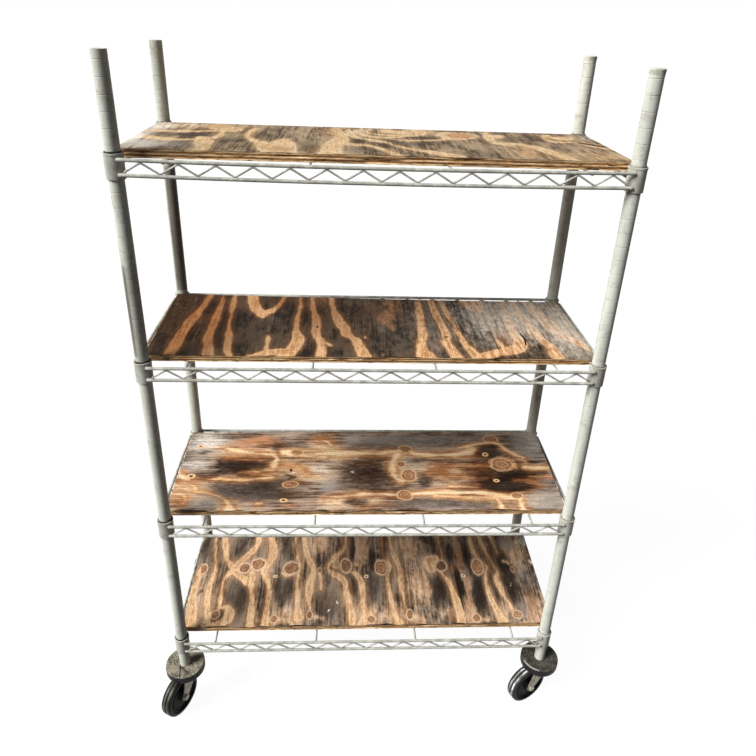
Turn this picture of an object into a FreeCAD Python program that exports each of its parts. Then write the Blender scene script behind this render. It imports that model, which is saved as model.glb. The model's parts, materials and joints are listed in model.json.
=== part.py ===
"""Rolling wire shelf: four grooved posts on swivel casters carry four welded wire shelves with boards.

Millimetres, +Z up, X along the shelf, Y to the back.
The origin is on the floor, midway between the four posts.
"""
import FreeCAD, Part
import math
import os

Vector = FreeCAD.Vector
UP = Vector(0, 0, 1)
MITRED_BENDS = 1

# Posts and their caps
POST_SPACING_X = 871.0
POST_SPACING_Y = 332.0
POST_DIAMETER = 25.4
POST_WALL = 1.6
POST_LENGTH = 1360.0
GROOVE_PITCH = 25.4
GROOVE_DEPTH = 0.8
GROOVE_WIDTH = 2.4
LOWEST_GROOVE_RISE = 25.5
CAP_WALL = 1.6
CAP_HEIGHT = 9.0
CAP_TOP = 1.6
PLUG_LENGTH = 14.0
PLUG_RIM = 1.2
CAPPED_POSTS = ("front_right", "rear_right")

# Welded wire shelves, each clipped at one post groove counted up from the post's foot
SHELF_GROOVES = {"top": 46, "upper": 31, "lower": 16, "bottom": 2}
ROD_ABOVE_GROOVE = 4.3
ROD_DIAMETER = 6.4
TRUSS_HEIGHT = 24.7
TRUSS_WELD = 0.5
ROD_END_SETBACK = 8.0
ZIGZAG_DIAMETER = 3.6
ZIGZAG_PITCH = 60.0
CROSS_WIRE_DIAMETER = 4.6
CROSS_WIRE_SPACING = 238.0
CROSS_WIRE_COUNT = 4
CROSS_WIRE_DROP = 6.4
CROSS_WIRE_RAMP = 14.0
WELD_DEPTH = 0.8

# Corner collars and the split sleeves that wedge inside them
COLLAR_LIP = 0.7
COLLAR_LIP_HEIGHT = 3.0
COLLAR_ABOVE_ROD = 8.5
COLLAR_BELOW_TRUSS = 9.3
COLLAR_TOP_WALL = 2.0
COLLAR_BOTTOM_WALL = 1.5
SLEEVE_WALL = 1.1
SLEEVE_PIECES = 2
SLEEVE_STRIPS = 12
SLEEVE_RISE = 3.0
SLEEVE_SPLIT = 2.5
FIT = 0.1

# Plywood boards: two lie level on the cross wires, two lean back on the rear collars
TOP_BOARD_THICKNESS = 15.0
BOARD_THICKNESS = 12.0
BOARD_TRUSS_GAP = 6.8
BOARD_COLLAR_GAP = 3.3
BOARD_SET_BACK = 2.6
BOARD_LAP = 2.0
BOARD_SEAT = 0.05
BOTTOM_BOARD_OVERHANG = 6.0
BOTTOM_BOARD_FRONT_GAP = 1.3

# Casters
WHEEL_DIAMETER = 101.6
TYRE_WIDTH = 26.0
TYRE_DEPTH = 9.0
TYRE_SHOULDER = 4.0
CORE_RIM_WIDTH = 22.0
CORE_RIM_DEPTH = 6.0
CORE_WEB = 12.0
HUB_DIAMETER = 28.0
HUB_WIDTH = 30.0
HUB_SIDE_GAP = 1.0
BUSH_DIAMETER = 14.0
AXLE_DIAMETER = 8.0
BOLT_HEAD_ACROSS_FLATS = 13.0
BOLT_HEAD_HEIGHT = 5.0
NUT_HEIGHT = 6.5
CASTER_TRAIL = 31.4
FORK_SHEET = 3.0
FORK_BEND = 5.0
FORK_BACK = 18.0
FORK_FRONT = 22.0
FORK_SKIRT = 12.0
LEG_END_RADIUS = 9.5
WHEEL_TOP_GAP = 2.6
RACE_GAP = 2.0
RACE_DIAMETER = 38.0
RACE_THICKNESS = 5.0
BALL_DIAMETER = 4.0
BALL_CIRCLE = 26.0
BALL_COUNT = 14
BALL_CLEARANCE = 0.15
KING_PIN_DIAMETER = 10.0
KING_PIN_HEAD = 17.0
KING_PIN_HEAD_HEIGHT = 3.0
HEAD_GAP = 0.3
RUNNING_CLEARANCE = 0.05
STEM_DIAMETER = 12.0
STEM_LENGTH = 36.0
INSERT_LENGTH = 42.0
BUMPER_DIAMETER = 91.0
BUMPER_THICKNESS = 19.0
BUMPER_ROUND = 4.0
BUMPER_FORK_GAP = 1.0

# The way each caster points at rest, in degrees from +X, and the post it stands under
CASTER_DIRECTIONS = {"front_left": 242.0, "front_right": 207.0, "rear_left": 115.0, "rear_right": 8.0}
POST_SIDES = {"front_left": (-1, -1), "front_right": (1, -1), "rear_left": (-1, 1), "rear_right": (1, 1)}

# Levels and radii that follow from the sizes above
POST_RADIUS = POST_DIAMETER / 2
POST_BORE = POST_RADIUS - POST_WALL
CAP_RADIUS = POST_RADIUS + FIT + CAP_WALL
COLLAR_RADIUS = POST_RADIUS + FIT + SLEEVE_WALL + FIT + COLLAR_TOP_WALL
ROD_RADIUS = ROD_DIAMETER / 2
TRUSS_OFFSET = COLLAR_RADIUS - TRUSS_WELD
BOARD_LENGTH = POST_SPACING_X + 2 * (TRUSS_OFFSET - ROD_RADIUS - BOARD_TRUSS_GAP)
COLLAR_FRONT = POST_SPACING_Y / 2 - COLLAR_RADIUS - COLLAR_LIP
BOARD_DEPTH = 2 * (COLLAR_FRONT - BOARD_COLLAR_GAP)
BOTTOM_BOARD_DEPTH = 2 * COLLAR_FRONT - BOTTOM_BOARD_FRONT_GAP + BOARD_LAP
WHEEL_RADIUS = WHEEL_DIAMETER / 2
CROWN_BOTTOM = WHEEL_DIAMETER + WHEEL_TOP_GAP
CROWN_TOP = CROWN_BOTTOM + FORK_SHEET
RACE_BOTTOM = CROWN_TOP + RACE_GAP
RACE_TOP = RACE_BOTTOM + RACE_THICKNESS
BUMPER_BOTTOM = CROWN_TOP + BUMPER_FORK_GAP
POST_BASE = BUMPER_BOTTOM + BUMPER_THICKNESS
POST_TOP = POST_BASE + POST_LENGTH
LEG_INNER = HUB_WIDTH / 2 + HUB_SIDE_GAP
LEG_OUTER = LEG_INNER + FORK_SHEET
CROSS_WIRE_RADIUS = CROSS_WIRE_DIAMETER / 2


def post_place(corner):
    """Centre of one post on the floor."""
    side_x, side_y = POST_SIDES[corner]
    return Vector(side_x * POST_SPACING_X / 2, side_y * POST_SPACING_Y / 2, 0)


def groove_height(index):
    """Height of a post groove, counted up from the one nearest the post's foot."""
    return POST_BASE + LOWEST_GROOVE_RISE + index * GROOVE_PITCH


def rod_height(tier):
    """Height of the upper truss rods of one shelf."""
    return groove_height(SHELF_GROOVES[tier]) + ROD_ABOVE_GROOVE


def turned(points, degrees=360.0):
    """Solid of revolution about Z from (radius, height) points."""
    corners = [Vector(radius, 0, height) for radius, height in points]
    face = Part.Face(Part.makePolygon(corners + corners[:1]))
    return face.revolve(Vector(0, 0, 0), UP, degrees)


def column(radius, bottom, top, centre=Vector(0, 0, 0)):
    """Upright cylinder between two heights."""
    return Part.makeCylinder(radius, top - bottom, Vector(centre.x, centre.y, bottom), UP)


def bar(radius, start, end):
    """Round bar between two points."""
    run = end - start
    return Part.makeCylinder(radius, run.Length, start, run)


def bent_wire(radius, points):
    """Round wire along straight runs with mitred bends."""
    path = Part.Wire(Part.makePolygon(points).Edges)
    section = Part.Wire(Part.makeCircle(radius, points[0], points[1] - points[0]))
    return path.makePipeShell([section], True, False, MITRED_BENDS)


def hexagon(across_flats, height, base, axis):
    """Hexagonal prism standing on a point along an axis."""
    radius = across_flats / math.sqrt(3)
    corners = [
        Vector(radius * math.cos(math.radians(60 * step)), radius * math.sin(math.radians(60 * step)), 0)
        for step in range(6)
    ]
    prism = Part.Face(Part.makePolygon(corners + corners[:1])).extrude(UP * height)
    prism.Placement = FreeCAD.Placement(base, FreeCAD.Rotation(UP, axis))
    return prism


def post():
    """Tube with a ring groove at every pitch, its axis on Z."""
    outline = [(POST_BORE, POST_TOP), (POST_BORE, POST_BASE), (POST_RADIUS, POST_BASE)]
    grooves = int((POST_LENGTH - LOWEST_GROOVE_RISE - GROOVE_WIDTH) // GROOVE_PITCH) + 1
    for index in range(grooves):
        height = groove_height(index)
        outline.append((POST_RADIUS, height - GROOVE_WIDTH / 2))
        outline.append((POST_RADIUS - GROOVE_DEPTH, height))
        outline.append((POST_RADIUS, height + GROOVE_WIDTH / 2))
    outline.append((POST_RADIUS, POST_TOP))
    return turned(outline)


def flanged_cap():
    """Cap that slips over a post's top."""
    skirt = POST_RADIUS + FIT
    return turned([
        (0, POST_TOP), (skirt, POST_TOP), (skirt, POST_TOP + CAP_TOP - CAP_HEIGHT),
        (CAP_RADIUS, POST_TOP + CAP_TOP - CAP_HEIGHT), (CAP_RADIUS, POST_TOP + CAP_TOP / 2),
        (CAP_RADIUS - CAP_TOP / 2, POST_TOP + CAP_TOP), (0, POST_TOP + CAP_TOP),
    ])


def flush_plug():
    """Plug inside a post's top, its rim level with the tube wall."""
    return turned([
        (0, POST_TOP - PLUG_LENGTH), (POST_BORE - FIT, POST_TOP - PLUG_LENGTH),
        (POST_BORE - FIT, POST_TOP),
        (POST_RADIUS - FIT, POST_TOP), (POST_RADIUS - FIT, POST_TOP + PLUG_RIM / 2),
        (POST_RADIUS - FIT - PLUG_RIM / 2, POST_TOP + PLUG_RIM), (0, POST_TOP + PLUG_RIM),
    ])


def collar_ends(rod):
    """Heights of a corner collar's bottom and top."""
    return rod - TRUSS_HEIGHT - COLLAR_BELOW_TRUSS, rod + COLLAR_ABOVE_ROD


def cone_radius(rod, height):
    """Radius of the collar's tapered bore at a height, wider at the bottom so that load locks it."""
    bottom, top = collar_ends(rod)
    share = (height - bottom) / (top - bottom)
    wall = COLLAR_BOTTOM_WALL + share * (COLLAR_TOP_WALL - COLLAR_BOTTOM_WALL)
    return COLLAR_RADIUS - wall


def collar(rod):
    """Outside of one corner collar, with its lip, on Z."""
    bottom, top = collar_ends(rod)
    lip = COLLAR_RADIUS + COLLAR_LIP
    return turned([
        (0, bottom), (COLLAR_RADIUS - COLLAR_LIP, bottom), (COLLAR_RADIUS, bottom + COLLAR_LIP),
        (COLLAR_RADIUS, top - COLLAR_LIP_HEIGHT - COLLAR_LIP), (lip, top - COLLAR_LIP_HEIGHT),
        (lip, top - COLLAR_LIP), (COLLAR_RADIUS, top), (0, top),
    ])


def collar_bore(rod):
    """Tapered space inside one corner collar, on Z."""
    bottom, top = collar_ends(rod)
    return turned([
        (0, bottom), (cone_radius(rod, bottom), bottom), (cone_radius(rod, top), top), (0, top),
    ])


def truss(rod, span):
    """Two rods along X with a zigzag wire between them, in the XZ plane."""
    half = span / 2 - ROD_END_SETBACK
    low = rod - TRUSS_HEIGHT
    rods = [bar(ROD_RADIUS, Vector(-half, 0, height), Vector(half, 0, height)) for height in (rod, low)]
    clear = span - 2 * COLLAR_RADIUS
    bays = round(clear / ZIGZAG_PITCH)
    step = clear / bays / 2
    inset = ROD_RADIUS + ZIGZAG_DIAMETER / 2 - WELD_DEPTH
    heights = (low + inset, rod - inset)
    points = [Vector(-clear / 2 + step * index, 0, heights[index % 2]) for index in range(2 * bays + 1)]
    return rods + [bent_wire(ZIGZAG_DIAMETER / 2, points)]


def cross_wire(rod, place):
    """Wire from the front truss to the rear one, dropped under the board and ramped up at its ends."""
    reach = POST_SPACING_Y / 2 + TRUSS_OFFSET
    knee = reach - CROSS_WIRE_RAMP
    low = rod - CROSS_WIRE_DROP
    end = rod - ROD_RADIUS + WELD_DEPTH
    return bent_wire(CROSS_WIRE_RADIUS, [
        Vector(place, -reach, end), Vector(place, -knee, low),
        Vector(place, knee, low), Vector(place, reach, end),
    ])


def shelf(rod=0.0):
    """One welded shelf: four collars, a truss on each side and the wires across."""
    pieces = []
    for side in (-1, 1):
        for piece in truss(rod, POST_SPACING_X):
            piece.translate(Vector(0, side * (POST_SPACING_Y / 2 + TRUSS_OFFSET), 0))
            pieces.append(piece)
        for piece in truss(rod, POST_SPACING_Y):
            piece.rotate(Vector(0, 0, 0), UP, 90)
            piece.translate(Vector(side * (POST_SPACING_X / 2 + TRUSS_OFFSET), 0, 0))
            pieces.append(piece)
    for index in range(CROSS_WIRE_COUNT):
        pieces.append(cross_wire(rod, (index - (CROSS_WIRE_COUNT - 1) / 2) * CROSS_WIRE_SPACING))
    bores = []
    for corner in POST_SIDES:
        for solids, solid in ((pieces, collar(rod)), (bores, collar_bore(rod))):
            solid.translate(post_place(corner))
            solids.append(solid)
    return pieces[0].multiFuse(pieces[1:]).cut(Part.makeCompound(bores)).removeSplitter()


def sleeve_halves(rod=0.0):
    """Half sleeves on Z, moulded in narrow strips, with a rib for the groove and the collar's taper."""
    bottom, collar_top = collar_ends(rod)
    top = collar_top + SLEEVE_RISE
    groove = rod - ROD_ABOVE_GROOVE
    inner = POST_RADIUS + FIT
    outline = [
        (inner, bottom), (cone_radius(rod, bottom) - FIT, bottom),
        (cone_radius(rod, top) - FIT, top), (inner, top),
        (inner, groove + GROOVE_WIDTH / 2), (inner - GROOVE_DEPTH, groove),
        (inner, groove - GROOVE_WIDTH / 2),
    ]
    split = 2 * math.degrees(math.asin(SLEEVE_SPLIT / 2 / COLLAR_RADIUS))
    turn = 360.0 / SLEEVE_PIECES
    width = (turn - split) / SLEEVE_STRIPS
    strips = [turned(outline, width) for index in range(SLEEVE_STRIPS)]
    for index, strip in enumerate(strips):
        strip.rotate(Vector(0, 0, 0), UP, split / 2 + index * width)
    half = strips[0].multiFuse(strips[1:])
    return [half.rotated(Vector(0, 0, 0), UP, index * turn) for index in range(SLEEVE_PIECES)]


def post_sleeves():
    """Every half sleeve of one post, its axis on Z."""
    halves = sleeve_halves()
    return Part.makeCompound([
        half.translated(UP * rod_height(tier)) for tier in SHELF_GROOVES for half in halves
    ])


def cross_wire_top(tier):
    """Height at which a board lies on a shelf's cross wires."""
    return rod_height(tier) - CROSS_WIRE_DROP + CROSS_WIRE_RADIUS


def level_board(tier, thickness):
    """Plywood panel lying level on the cross wires, between the front and rear collars."""
    seat = cross_wire_top(tier) + BOARD_SEAT
    corner = Vector(-BOARD_LENGTH / 2, BOARD_SET_BACK - BOARD_DEPTH / 2, seat)
    return Part.makeBox(BOARD_LENGTH, BOARD_DEPTH, thickness, corner)


def leaning_board(tier, right, depth, front_seat):
    """Plywood panel whose front edge lies at a height and whose back laps the rear collars' tops."""
    left = -BOARD_LENGTH / 2
    rise = rod_height(tier) + COLLAR_ABOVE_ROD - front_seat
    run = math.sqrt((depth - BOARD_LAP) ** 2 - rise ** 2)
    panel = Part.makeBox(right - left, depth, BOARD_THICKNESS, Vector(left, 0, 0))
    panel.rotate(Vector(0, 0, 0), Vector(1, 0, 0), math.degrees(math.atan2(rise, run)))
    return panel.translated(Vector(0, COLLAR_FRONT - run, front_seat + BOARD_SEAT))


def boards():
    """The four panels; the bottom one also lies over the right side rods."""
    side_rod_top = rod_height("bottom") + ROD_RADIUS
    past_side_rod = POST_SPACING_X / 2 + TRUSS_OFFSET + BOTTOM_BOARD_OVERHANG
    return {
        "board_top": level_board("top", TOP_BOARD_THICKNESS),
        "board_upper": level_board("upper", BOARD_THICKNESS),
        "board_lower": leaning_board("lower", BOARD_LENGTH / 2, BOARD_DEPTH, cross_wire_top("lower")),
        "board_bottom": leaning_board("bottom", past_side_rod, BOTTOM_BOARD_DEPTH, side_rod_top),
    }


def post_insert():
    """Bushing in a post's foot that holds the caster's stem, on Z."""
    bore = STEM_DIAMETER / 2 + RUNNING_CLEARANCE
    outside = POST_BORE - RUNNING_CLEARANCE
    top = POST_BASE + INSERT_LENGTH
    return turned([(bore, POST_BASE), (outside, POST_BASE), (outside, top), (bore, top)])


def ball_track(height):
    """Ring-shaped track that the swivel balls run in."""
    return Part.makeTorus(BALL_CIRCLE / 2, BALL_DIAMETER / 2 + BALL_CLEARANCE, Vector(0, 0, height), UP)


def stem():
    """Caster stem with its upper race and the king pin that carries the fork."""
    pin = KING_PIN_DIAMETER / 2
    head = KING_PIN_HEAD / 2
    head_top = CROWN_BOTTOM - HEAD_GAP
    head_bottom = head_top - KING_PIN_HEAD_HEIGHT
    stem_top = POST_BASE + STEM_LENGTH
    body = turned([
        (0, head_bottom), (head - HEAD_GAP, head_bottom), (head, head_bottom + HEAD_GAP),
        (head, head_top), (pin, head_top), (pin, RACE_BOTTOM), (RACE_DIAMETER / 2, RACE_BOTTOM),
        (RACE_DIAMETER / 2, RACE_TOP), (STEM_DIAMETER / 2, RACE_TOP),
        (STEM_DIAMETER / 2, stem_top), (0, stem_top),
    ])
    return body.cut(ball_track(CROWN_TOP + RACE_GAP / 2))


def bumper():
    """Rubber ring under the post, hollow below for the swivel race, on Z."""
    outside = BUMPER_DIAMETER / 2
    pocket = RACE_DIAMETER / 2 + FIT
    hole = STEM_DIAMETER / 2 + FIT
    disc = turned([
        (pocket, BUMPER_BOTTOM), (outside, BUMPER_BOTTOM), (outside, POST_BASE), (hole, POST_BASE),
        (hole, RACE_TOP), (pocket, RACE_TOP),
    ])
    rims = [
        edge for edge in disc.Edges
        if isinstance(edge.Curve, Part.Circle) and abs(edge.Curve.Radius - outside) < FIT
    ]
    return disc.makeFillet(BUMPER_ROUND, rims)


def swivel_balls():
    """Ring of bearing balls between the race and the fork's crown, on Z."""
    balls = []
    for index in range(BALL_COUNT):
        angle = 2 * math.pi * index / BALL_COUNT
        centre = Vector(math.cos(angle), math.sin(angle), 0) * (BALL_CIRCLE / 2)
        balls.append(Part.makeSphere(BALL_DIAMETER / 2, centre + UP * (CROWN_TOP + RACE_GAP / 2)))
    return Part.makeCompound(balls)


def fork_channel():
    """Bent sheet channel, open below, as wide as the fork and as long as its side outline needs."""
    start = -FORK_BACK
    length = FORK_BACK + CASTER_TRAIL + LEG_END_RADIUS
    low = WHEEL_RADIUS - LEG_END_RADIUS
    outside = Part.makeBox(length, 2 * LEG_OUTER, CROWN_TOP - low, Vector(start, -LEG_OUTER, low))
    bends = [
        edge for edge in outside.Edges
        if abs(edge.BoundBox.ZMin - CROWN_TOP) < FIT and edge.BoundBox.XLength > length - FIT
    ]
    outside = outside.makeFillet(FORK_BEND, bends)
    inside = Part.makeBox(length, 2 * LEG_INNER, CROWN_BOTTOM - low, Vector(start, -LEG_INNER, low))
    return outside.cut(inside)


def fork_side():
    """Side outline of the fork: a crown that tapers down to a round leg end at the axle."""
    axle = Vector(CASTER_TRAIL, 0, WHEEL_RADIUS)
    front = Vector(FORK_FRONT, 0, CROWN_TOP)
    skirt = Vector(-FORK_BACK, 0, CROWN_TOP - FORK_SKIRT)
    front_touch = tangent_point(axle, front, 1)
    skirt_touch = tangent_point(axle, skirt, -1)
    away = (axle - (front + skirt) * 0.5).normalize()
    outline = Part.Wire([
        Part.makeLine(Vector(-FORK_BACK, 0, CROWN_TOP), front),
        Part.makeLine(front, front_touch),
        Part.Arc(front_touch, axle + away * LEG_END_RADIUS, skirt_touch).toShape(),
        Part.makeLine(skirt_touch, skirt),
        Part.makeLine(skirt, Vector(-FORK_BACK, 0, CROWN_TOP)),
    ])
    side = Part.Face(outline).extrude(Vector(0, 2 * LEG_OUTER, 0))
    side.translate(Vector(0, -LEG_OUTER, 0))
    return side


def tangent_point(centre, outside_point, side):
    """Where a line from a point touches the leg end's circle, on the side given by the sign."""
    run = outside_point - centre
    swing = side * math.acos(LEG_END_RADIUS / run.Length)
    angle = math.atan2(run.z, run.x) - swing
    return centre + Vector(math.cos(angle), 0, math.sin(angle)) * LEG_END_RADIUS


def fork():
    """Stamped fork: crown with the lower ball track, two legs and the axle holes."""
    body = fork_channel().common(fork_side())
    pin_hole = column(KING_PIN_DIAMETER / 2 + RUNNING_CLEARANCE, CROWN_BOTTOM, CROWN_TOP)
    axle_hole = across(AXLE_DIAMETER / 2 + RUNNING_CLEARANCE, -LEG_OUTER, LEG_OUTER)
    return body.cut(Part.makeCompound([pin_hole, axle_hole])).cut(ball_track(CROWN_TOP + RACE_GAP / 2))


def across(radius, start, end):
    """Cylinder along the axle between two distances from the wheel's middle."""
    ends = [Vector(CASTER_TRAIL, distance, WHEEL_RADIUS) for distance in (start, end)]
    return bar(radius, *ends)


def axle_bolt():
    """Hexagon bolt through both legs, its head on the leg that faces outwards."""
    shank = across(AXLE_DIAMETER / 2, -LEG_OUTER - NUT_HEIGHT, LEG_OUTER)
    seat = Vector(CASTER_TRAIL, LEG_OUTER, WHEEL_RADIUS)
    head = hexagon(BOLT_HEAD_ACROSS_FLATS, BOLT_HEAD_HEIGHT, seat, Vector(0, 1, 0))
    return shank.fuse(head).removeSplitter()


def axle_nut():
    """Nut on the bolt's free end."""
    seat = Vector(CASTER_TRAIL, -LEG_OUTER, WHEEL_RADIUS)
    body = hexagon(BOLT_HEAD_ACROSS_FLATS, NUT_HEIGHT, seat, Vector(0, -1, 0))
    return body.cut(across(AXLE_DIAMETER / 2 + RUNNING_CLEARANCE, -LEG_OUTER - NUT_HEIGHT, -LEG_OUTER))


def axle_bush():
    """Tube clamped between the legs, on which the wheel turns."""
    outside = across(BUSH_DIAMETER / 2, -LEG_INNER, LEG_INNER)
    return outside.cut(across(AXLE_DIAMETER / 2 + RUNNING_CLEARANCE, -LEG_INNER, LEG_INNER))


def wheel_turned(points):
    """Solid of revolution about the axle from (radius, distance across) points."""
    solid = turned(points)
    solid.rotate(Vector(0, 0, 0), Vector(1, 0, 0), 90)
    solid.translate(Vector(CASTER_TRAIL, 0, WHEEL_RADIUS))
    return solid


def wheel_core():
    """Moulded wheel centre: hub, web and rim."""
    bore = BUSH_DIAMETER / 2 + RUNNING_CLEARANCE
    hub = HUB_DIAMETER / 2
    seat = WHEEL_RADIUS - TYRE_DEPTH
    rim = seat - CORE_RIM_DEPTH
    half = [
        (bore, HUB_WIDTH / 2), (hub, HUB_WIDTH / 2), (hub, CORE_WEB / 2), (rim, CORE_WEB / 2),
        (rim, CORE_RIM_WIDTH / 2), (seat, CORE_RIM_WIDTH / 2),
    ]
    return wheel_turned(half + [(radius, -across_axle) for radius, across_axle in reversed(half)])


def tyre():
    """Rubber tread ring with chamfered shoulders, seated on the wheel centre."""
    seat = WHEEL_RADIUS - TYRE_DEPTH
    side = TYRE_WIDTH / 2
    flat = side - TYRE_SHOULDER
    shoulder = WHEEL_RADIUS - TYRE_SHOULDER
    knee = TYRE_SHOULDER * (1 - math.sqrt(0.5))
    half = [(seat, side), (shoulder, side), (WHEEL_RADIUS - knee, side - knee), (WHEEL_RADIUS, flat)]
    return wheel_turned(half + [(radius, -across_axle) for radius, across_axle in reversed(half)])


def under_post(solid, corner, direction=0.0):
    """A caster piece turned to its rest direction and moved under its post."""
    placed = solid.copy()
    placed.rotate(Vector(0, 0, 0), UP, direction)
    placed.translate(post_place(corner))
    return placed


def all_parts():
    """Every named piece of the part in its place."""
    parts = boards()
    welded_shelf = shelf()
    sleeves = post_sleeves()
    for tier in SHELF_GROOVES:
        parts["shelf_" + tier] = welded_shelf.translated(UP * rod_height(tier))
    for corner in POST_SIDES:
        parts["post_" + corner] = under_post(post(), corner)
        cap = flanged_cap() if corner in CAPPED_POSTS else flush_plug()
        parts["cap_" + corner] = under_post(cap, corner)
        parts["sleeves_" + corner] = under_post(sleeves, corner)
        parts["caster_stem_" + corner] = under_post(stem(), corner)
        parts["bumper_" + corner] = under_post(bumper(), corner)
    inserts = [under_post(post_insert(), corner) for corner in POST_SIDES]
    parts["post_inserts"] = Part.makeCompound(inserts)
    moving = {
        "swivel_balls": swivel_balls(), "fork": fork(), "axle_bolt": axle_bolt(), "axle_nut": axle_nut(),
        "axle_bush": axle_bush(), "wheel_core": wheel_core(), "tyre": tyre(),
    }
    for corner, direction in CASTER_DIRECTIONS.items():
        for name, solid in moving.items():
            parts[name + "_" + corner] = under_post(solid, corner, direction)
    return parts


os.makedirs("parts", exist_ok=True)
for name, shape in all_parts().items():
    shape.exportStep("parts/" + name + ".step")
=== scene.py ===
"""Looks of the rolling wire shelf: enamelled posts and wire shelves, scorched plywood boards and casters.

The frame is in metres, +Z up, +X along the shelves and +Y to the back.
Shapes here are worked out in millimetres and turned into metres when a piece is made.
"""
import json
import math

import bmesh
import bpy
import numpy as np
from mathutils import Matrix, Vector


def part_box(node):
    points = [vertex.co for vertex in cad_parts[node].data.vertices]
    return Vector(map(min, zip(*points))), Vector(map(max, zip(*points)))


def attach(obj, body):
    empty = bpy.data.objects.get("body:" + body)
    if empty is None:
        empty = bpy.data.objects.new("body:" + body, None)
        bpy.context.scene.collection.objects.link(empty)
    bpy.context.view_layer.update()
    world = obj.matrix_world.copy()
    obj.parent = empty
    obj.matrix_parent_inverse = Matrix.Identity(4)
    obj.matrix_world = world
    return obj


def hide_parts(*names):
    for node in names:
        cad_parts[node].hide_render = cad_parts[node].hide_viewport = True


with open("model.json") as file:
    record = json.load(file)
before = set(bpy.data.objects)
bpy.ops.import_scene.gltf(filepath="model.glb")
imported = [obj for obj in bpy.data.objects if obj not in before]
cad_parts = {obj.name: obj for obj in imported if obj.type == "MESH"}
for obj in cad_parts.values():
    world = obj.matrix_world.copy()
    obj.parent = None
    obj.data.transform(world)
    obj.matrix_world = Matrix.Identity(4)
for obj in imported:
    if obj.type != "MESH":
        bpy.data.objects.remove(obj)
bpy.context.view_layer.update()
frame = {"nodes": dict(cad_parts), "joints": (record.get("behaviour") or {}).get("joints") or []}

MM = 0.001
CORNERS = ("front_left", "front_right", "rear_left", "rear_right")
TIERS = ("top", "upper", "lower", "bottom")

# Posts and caps, in millimetres; the brim of a groove, where the wall is plain again, in its half widths
POST_WALL = 1.6
GROOVE_PITCH = 25.4
GROOVE_DEPTH = 0.4
GROOVE_WIDTH = 1.8
GROOVE_BRIM = 1.8
GROOVE_STEPS = 9
LOWEST_GROOVE_RISE = 25.5
CAP_FLANGE = {"front_right": 0.8, "rear_right": 0.5}
CAP_LIP = 2.8
CAP_HEIGHT = 9.0
CAP_TOP = 1.6
CAP_ROUND = 1.7
CAP_EDGE = 0.2
PLUG_ROUND = 0.7
PLUG_RIM = 1.2
PLUG_LENGTH = 14.0
FIT = 0.1

# Wire shelves, in millimetres
COLLAR_RADIUS = 16.0
COLLAR_LIP = 0.7
COLLAR_LIP_HEIGHT = 3.0
COLLAR_LIP_ROUND = 0.6
COLLAR_FOOT_ROUND = 0.8
COLLAR_ABOVE_ROD = 8.5
COLLAR_BELOW_ROD = 34.0
COLLAR_WALL = 1.8
ROD_RADIUS = 3.2
ROD_END_SETBACK = 8.0
ROD_STEPS = 24
TRUSS_HEIGHT = 24.7
TRUSS_OFFSET = 15.5
TOP_SAG = 3.4
ZIGZAG_RADIUS = 1.8
ZIGZAG_PITCH = 60.0
ZIGZAG_TIGHTNESS = 0.985
ZIGZAG_STEPS = 16
WELD_DEPTH = 0.8
CROSS_WIRE_RADIUS = 2.3
CROSS_WIRE_SPACING = 238.0
CROSS_WIRE_COUNT = 4
CROSS_WIRE_DROP = 6.4
CROSS_WIRE_RAMP = 14.0
CROSS_WIRE_STEPS = 9

# Boards, in millimetres and degrees: lean to the back, and lift of the warped back left and right corners
BOARD_STEP = 2.0
BOARD_THICKNESS = {"top": 15.0, "upper": 12.0, "lower": 12.0, "bottom": 12.0}
BOARD_LEAN = {"top": 0.0, "upper": 0.0, "lower": 2.490, "bottom": 1.0215}
BACK_LIFT = {"top": (0.0, 0.0), "upper": (7.0, 0.0), "lower": (-6.0, -1.5), "bottom": (3.5, 1.0)}
LONG_GRAIN = ("lower",)
GRAIN_TURN = {tier: math.pi / 2 if tier in LONG_GRAIN else 0.0 for tier in TIERS}
SEED_STEP = 2.3
PLY_COUNT = 5
PLY_ROWS = 10
PLY_RECESS = 0.2
PLY_STAGGER = 0.35
PLY_ROUGHNESS = 0.3
TEAR_LEVEL = 0.4
TEAR_DEPTH = 5.0
EDGE_FADE = 6.0
WANDER = 0.8
FEATHER = 9.0
BURN_DEPTH = 3.0
BURN_LEVEL = 0.4
FAR_FROM_BAND = -40.0
FAR_FROM_KNOT = 9.0

# Casters, in millimetres and degrees
WHEEL_RADIUS = 50.8
WHEEL_SEGMENTS = 96
TYRE_WIDTH = 26.0
TYRE_DEPTH = 9.0
TYRE_SHOULDER = 4.0
TREAD_DROP = 0.6
TREAD_GROOVE_DEPTH = 1.2
TREAD_GROOVE_SPREAD = 1.1
TREAD_STEPS = 41
# Painted highlight on the tread where it faces the light: its depth, fade and least share, then the place and
# spread of its stripes on the two ridges
HIGHLIGHT_DEPTH = 2.2
HIGHLIGHT_FADE = 1.2
HIGHLIGHT_LEAST = 0.05
STRIPE_PLACE = 4.5
STRIPE_SPREAD = 1.3
CORE_RIM_WIDTH = 22.0
CORE_RIM_DEPTH = 6.0
CORE_RIM_BEVEL = 0.6
CORE_WEB = 19.0
CORE_FILLET = 3.0
HUB_RADIUS = 14.0
HUB_WIDTH = 30.0
HUB_ROUND = 1.5
BUSH_RADIUS = 7.05
BUMPER_ROUND = 2.4
BUMPER_SEGMENTS = 128
BUMPER_ROUND_STEPS = 8
BUMPER_TOP_INSET = 1.5
BUMPER_TOP_STEPS = 28
BUMPER_POCKET_RADIUS = 19.1
BUMPER_POCKET_DEPTH = 6.0
BUMPER_HOLE_RADIUS = 6.1
DUST_EDGE = 0.7
DUST_FADE = 0.6
SCUFF_INSET = 3.0
SCUFF_SPREAD = 0.9
SCUFF_BEARINGS = (-165, -105)

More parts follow.
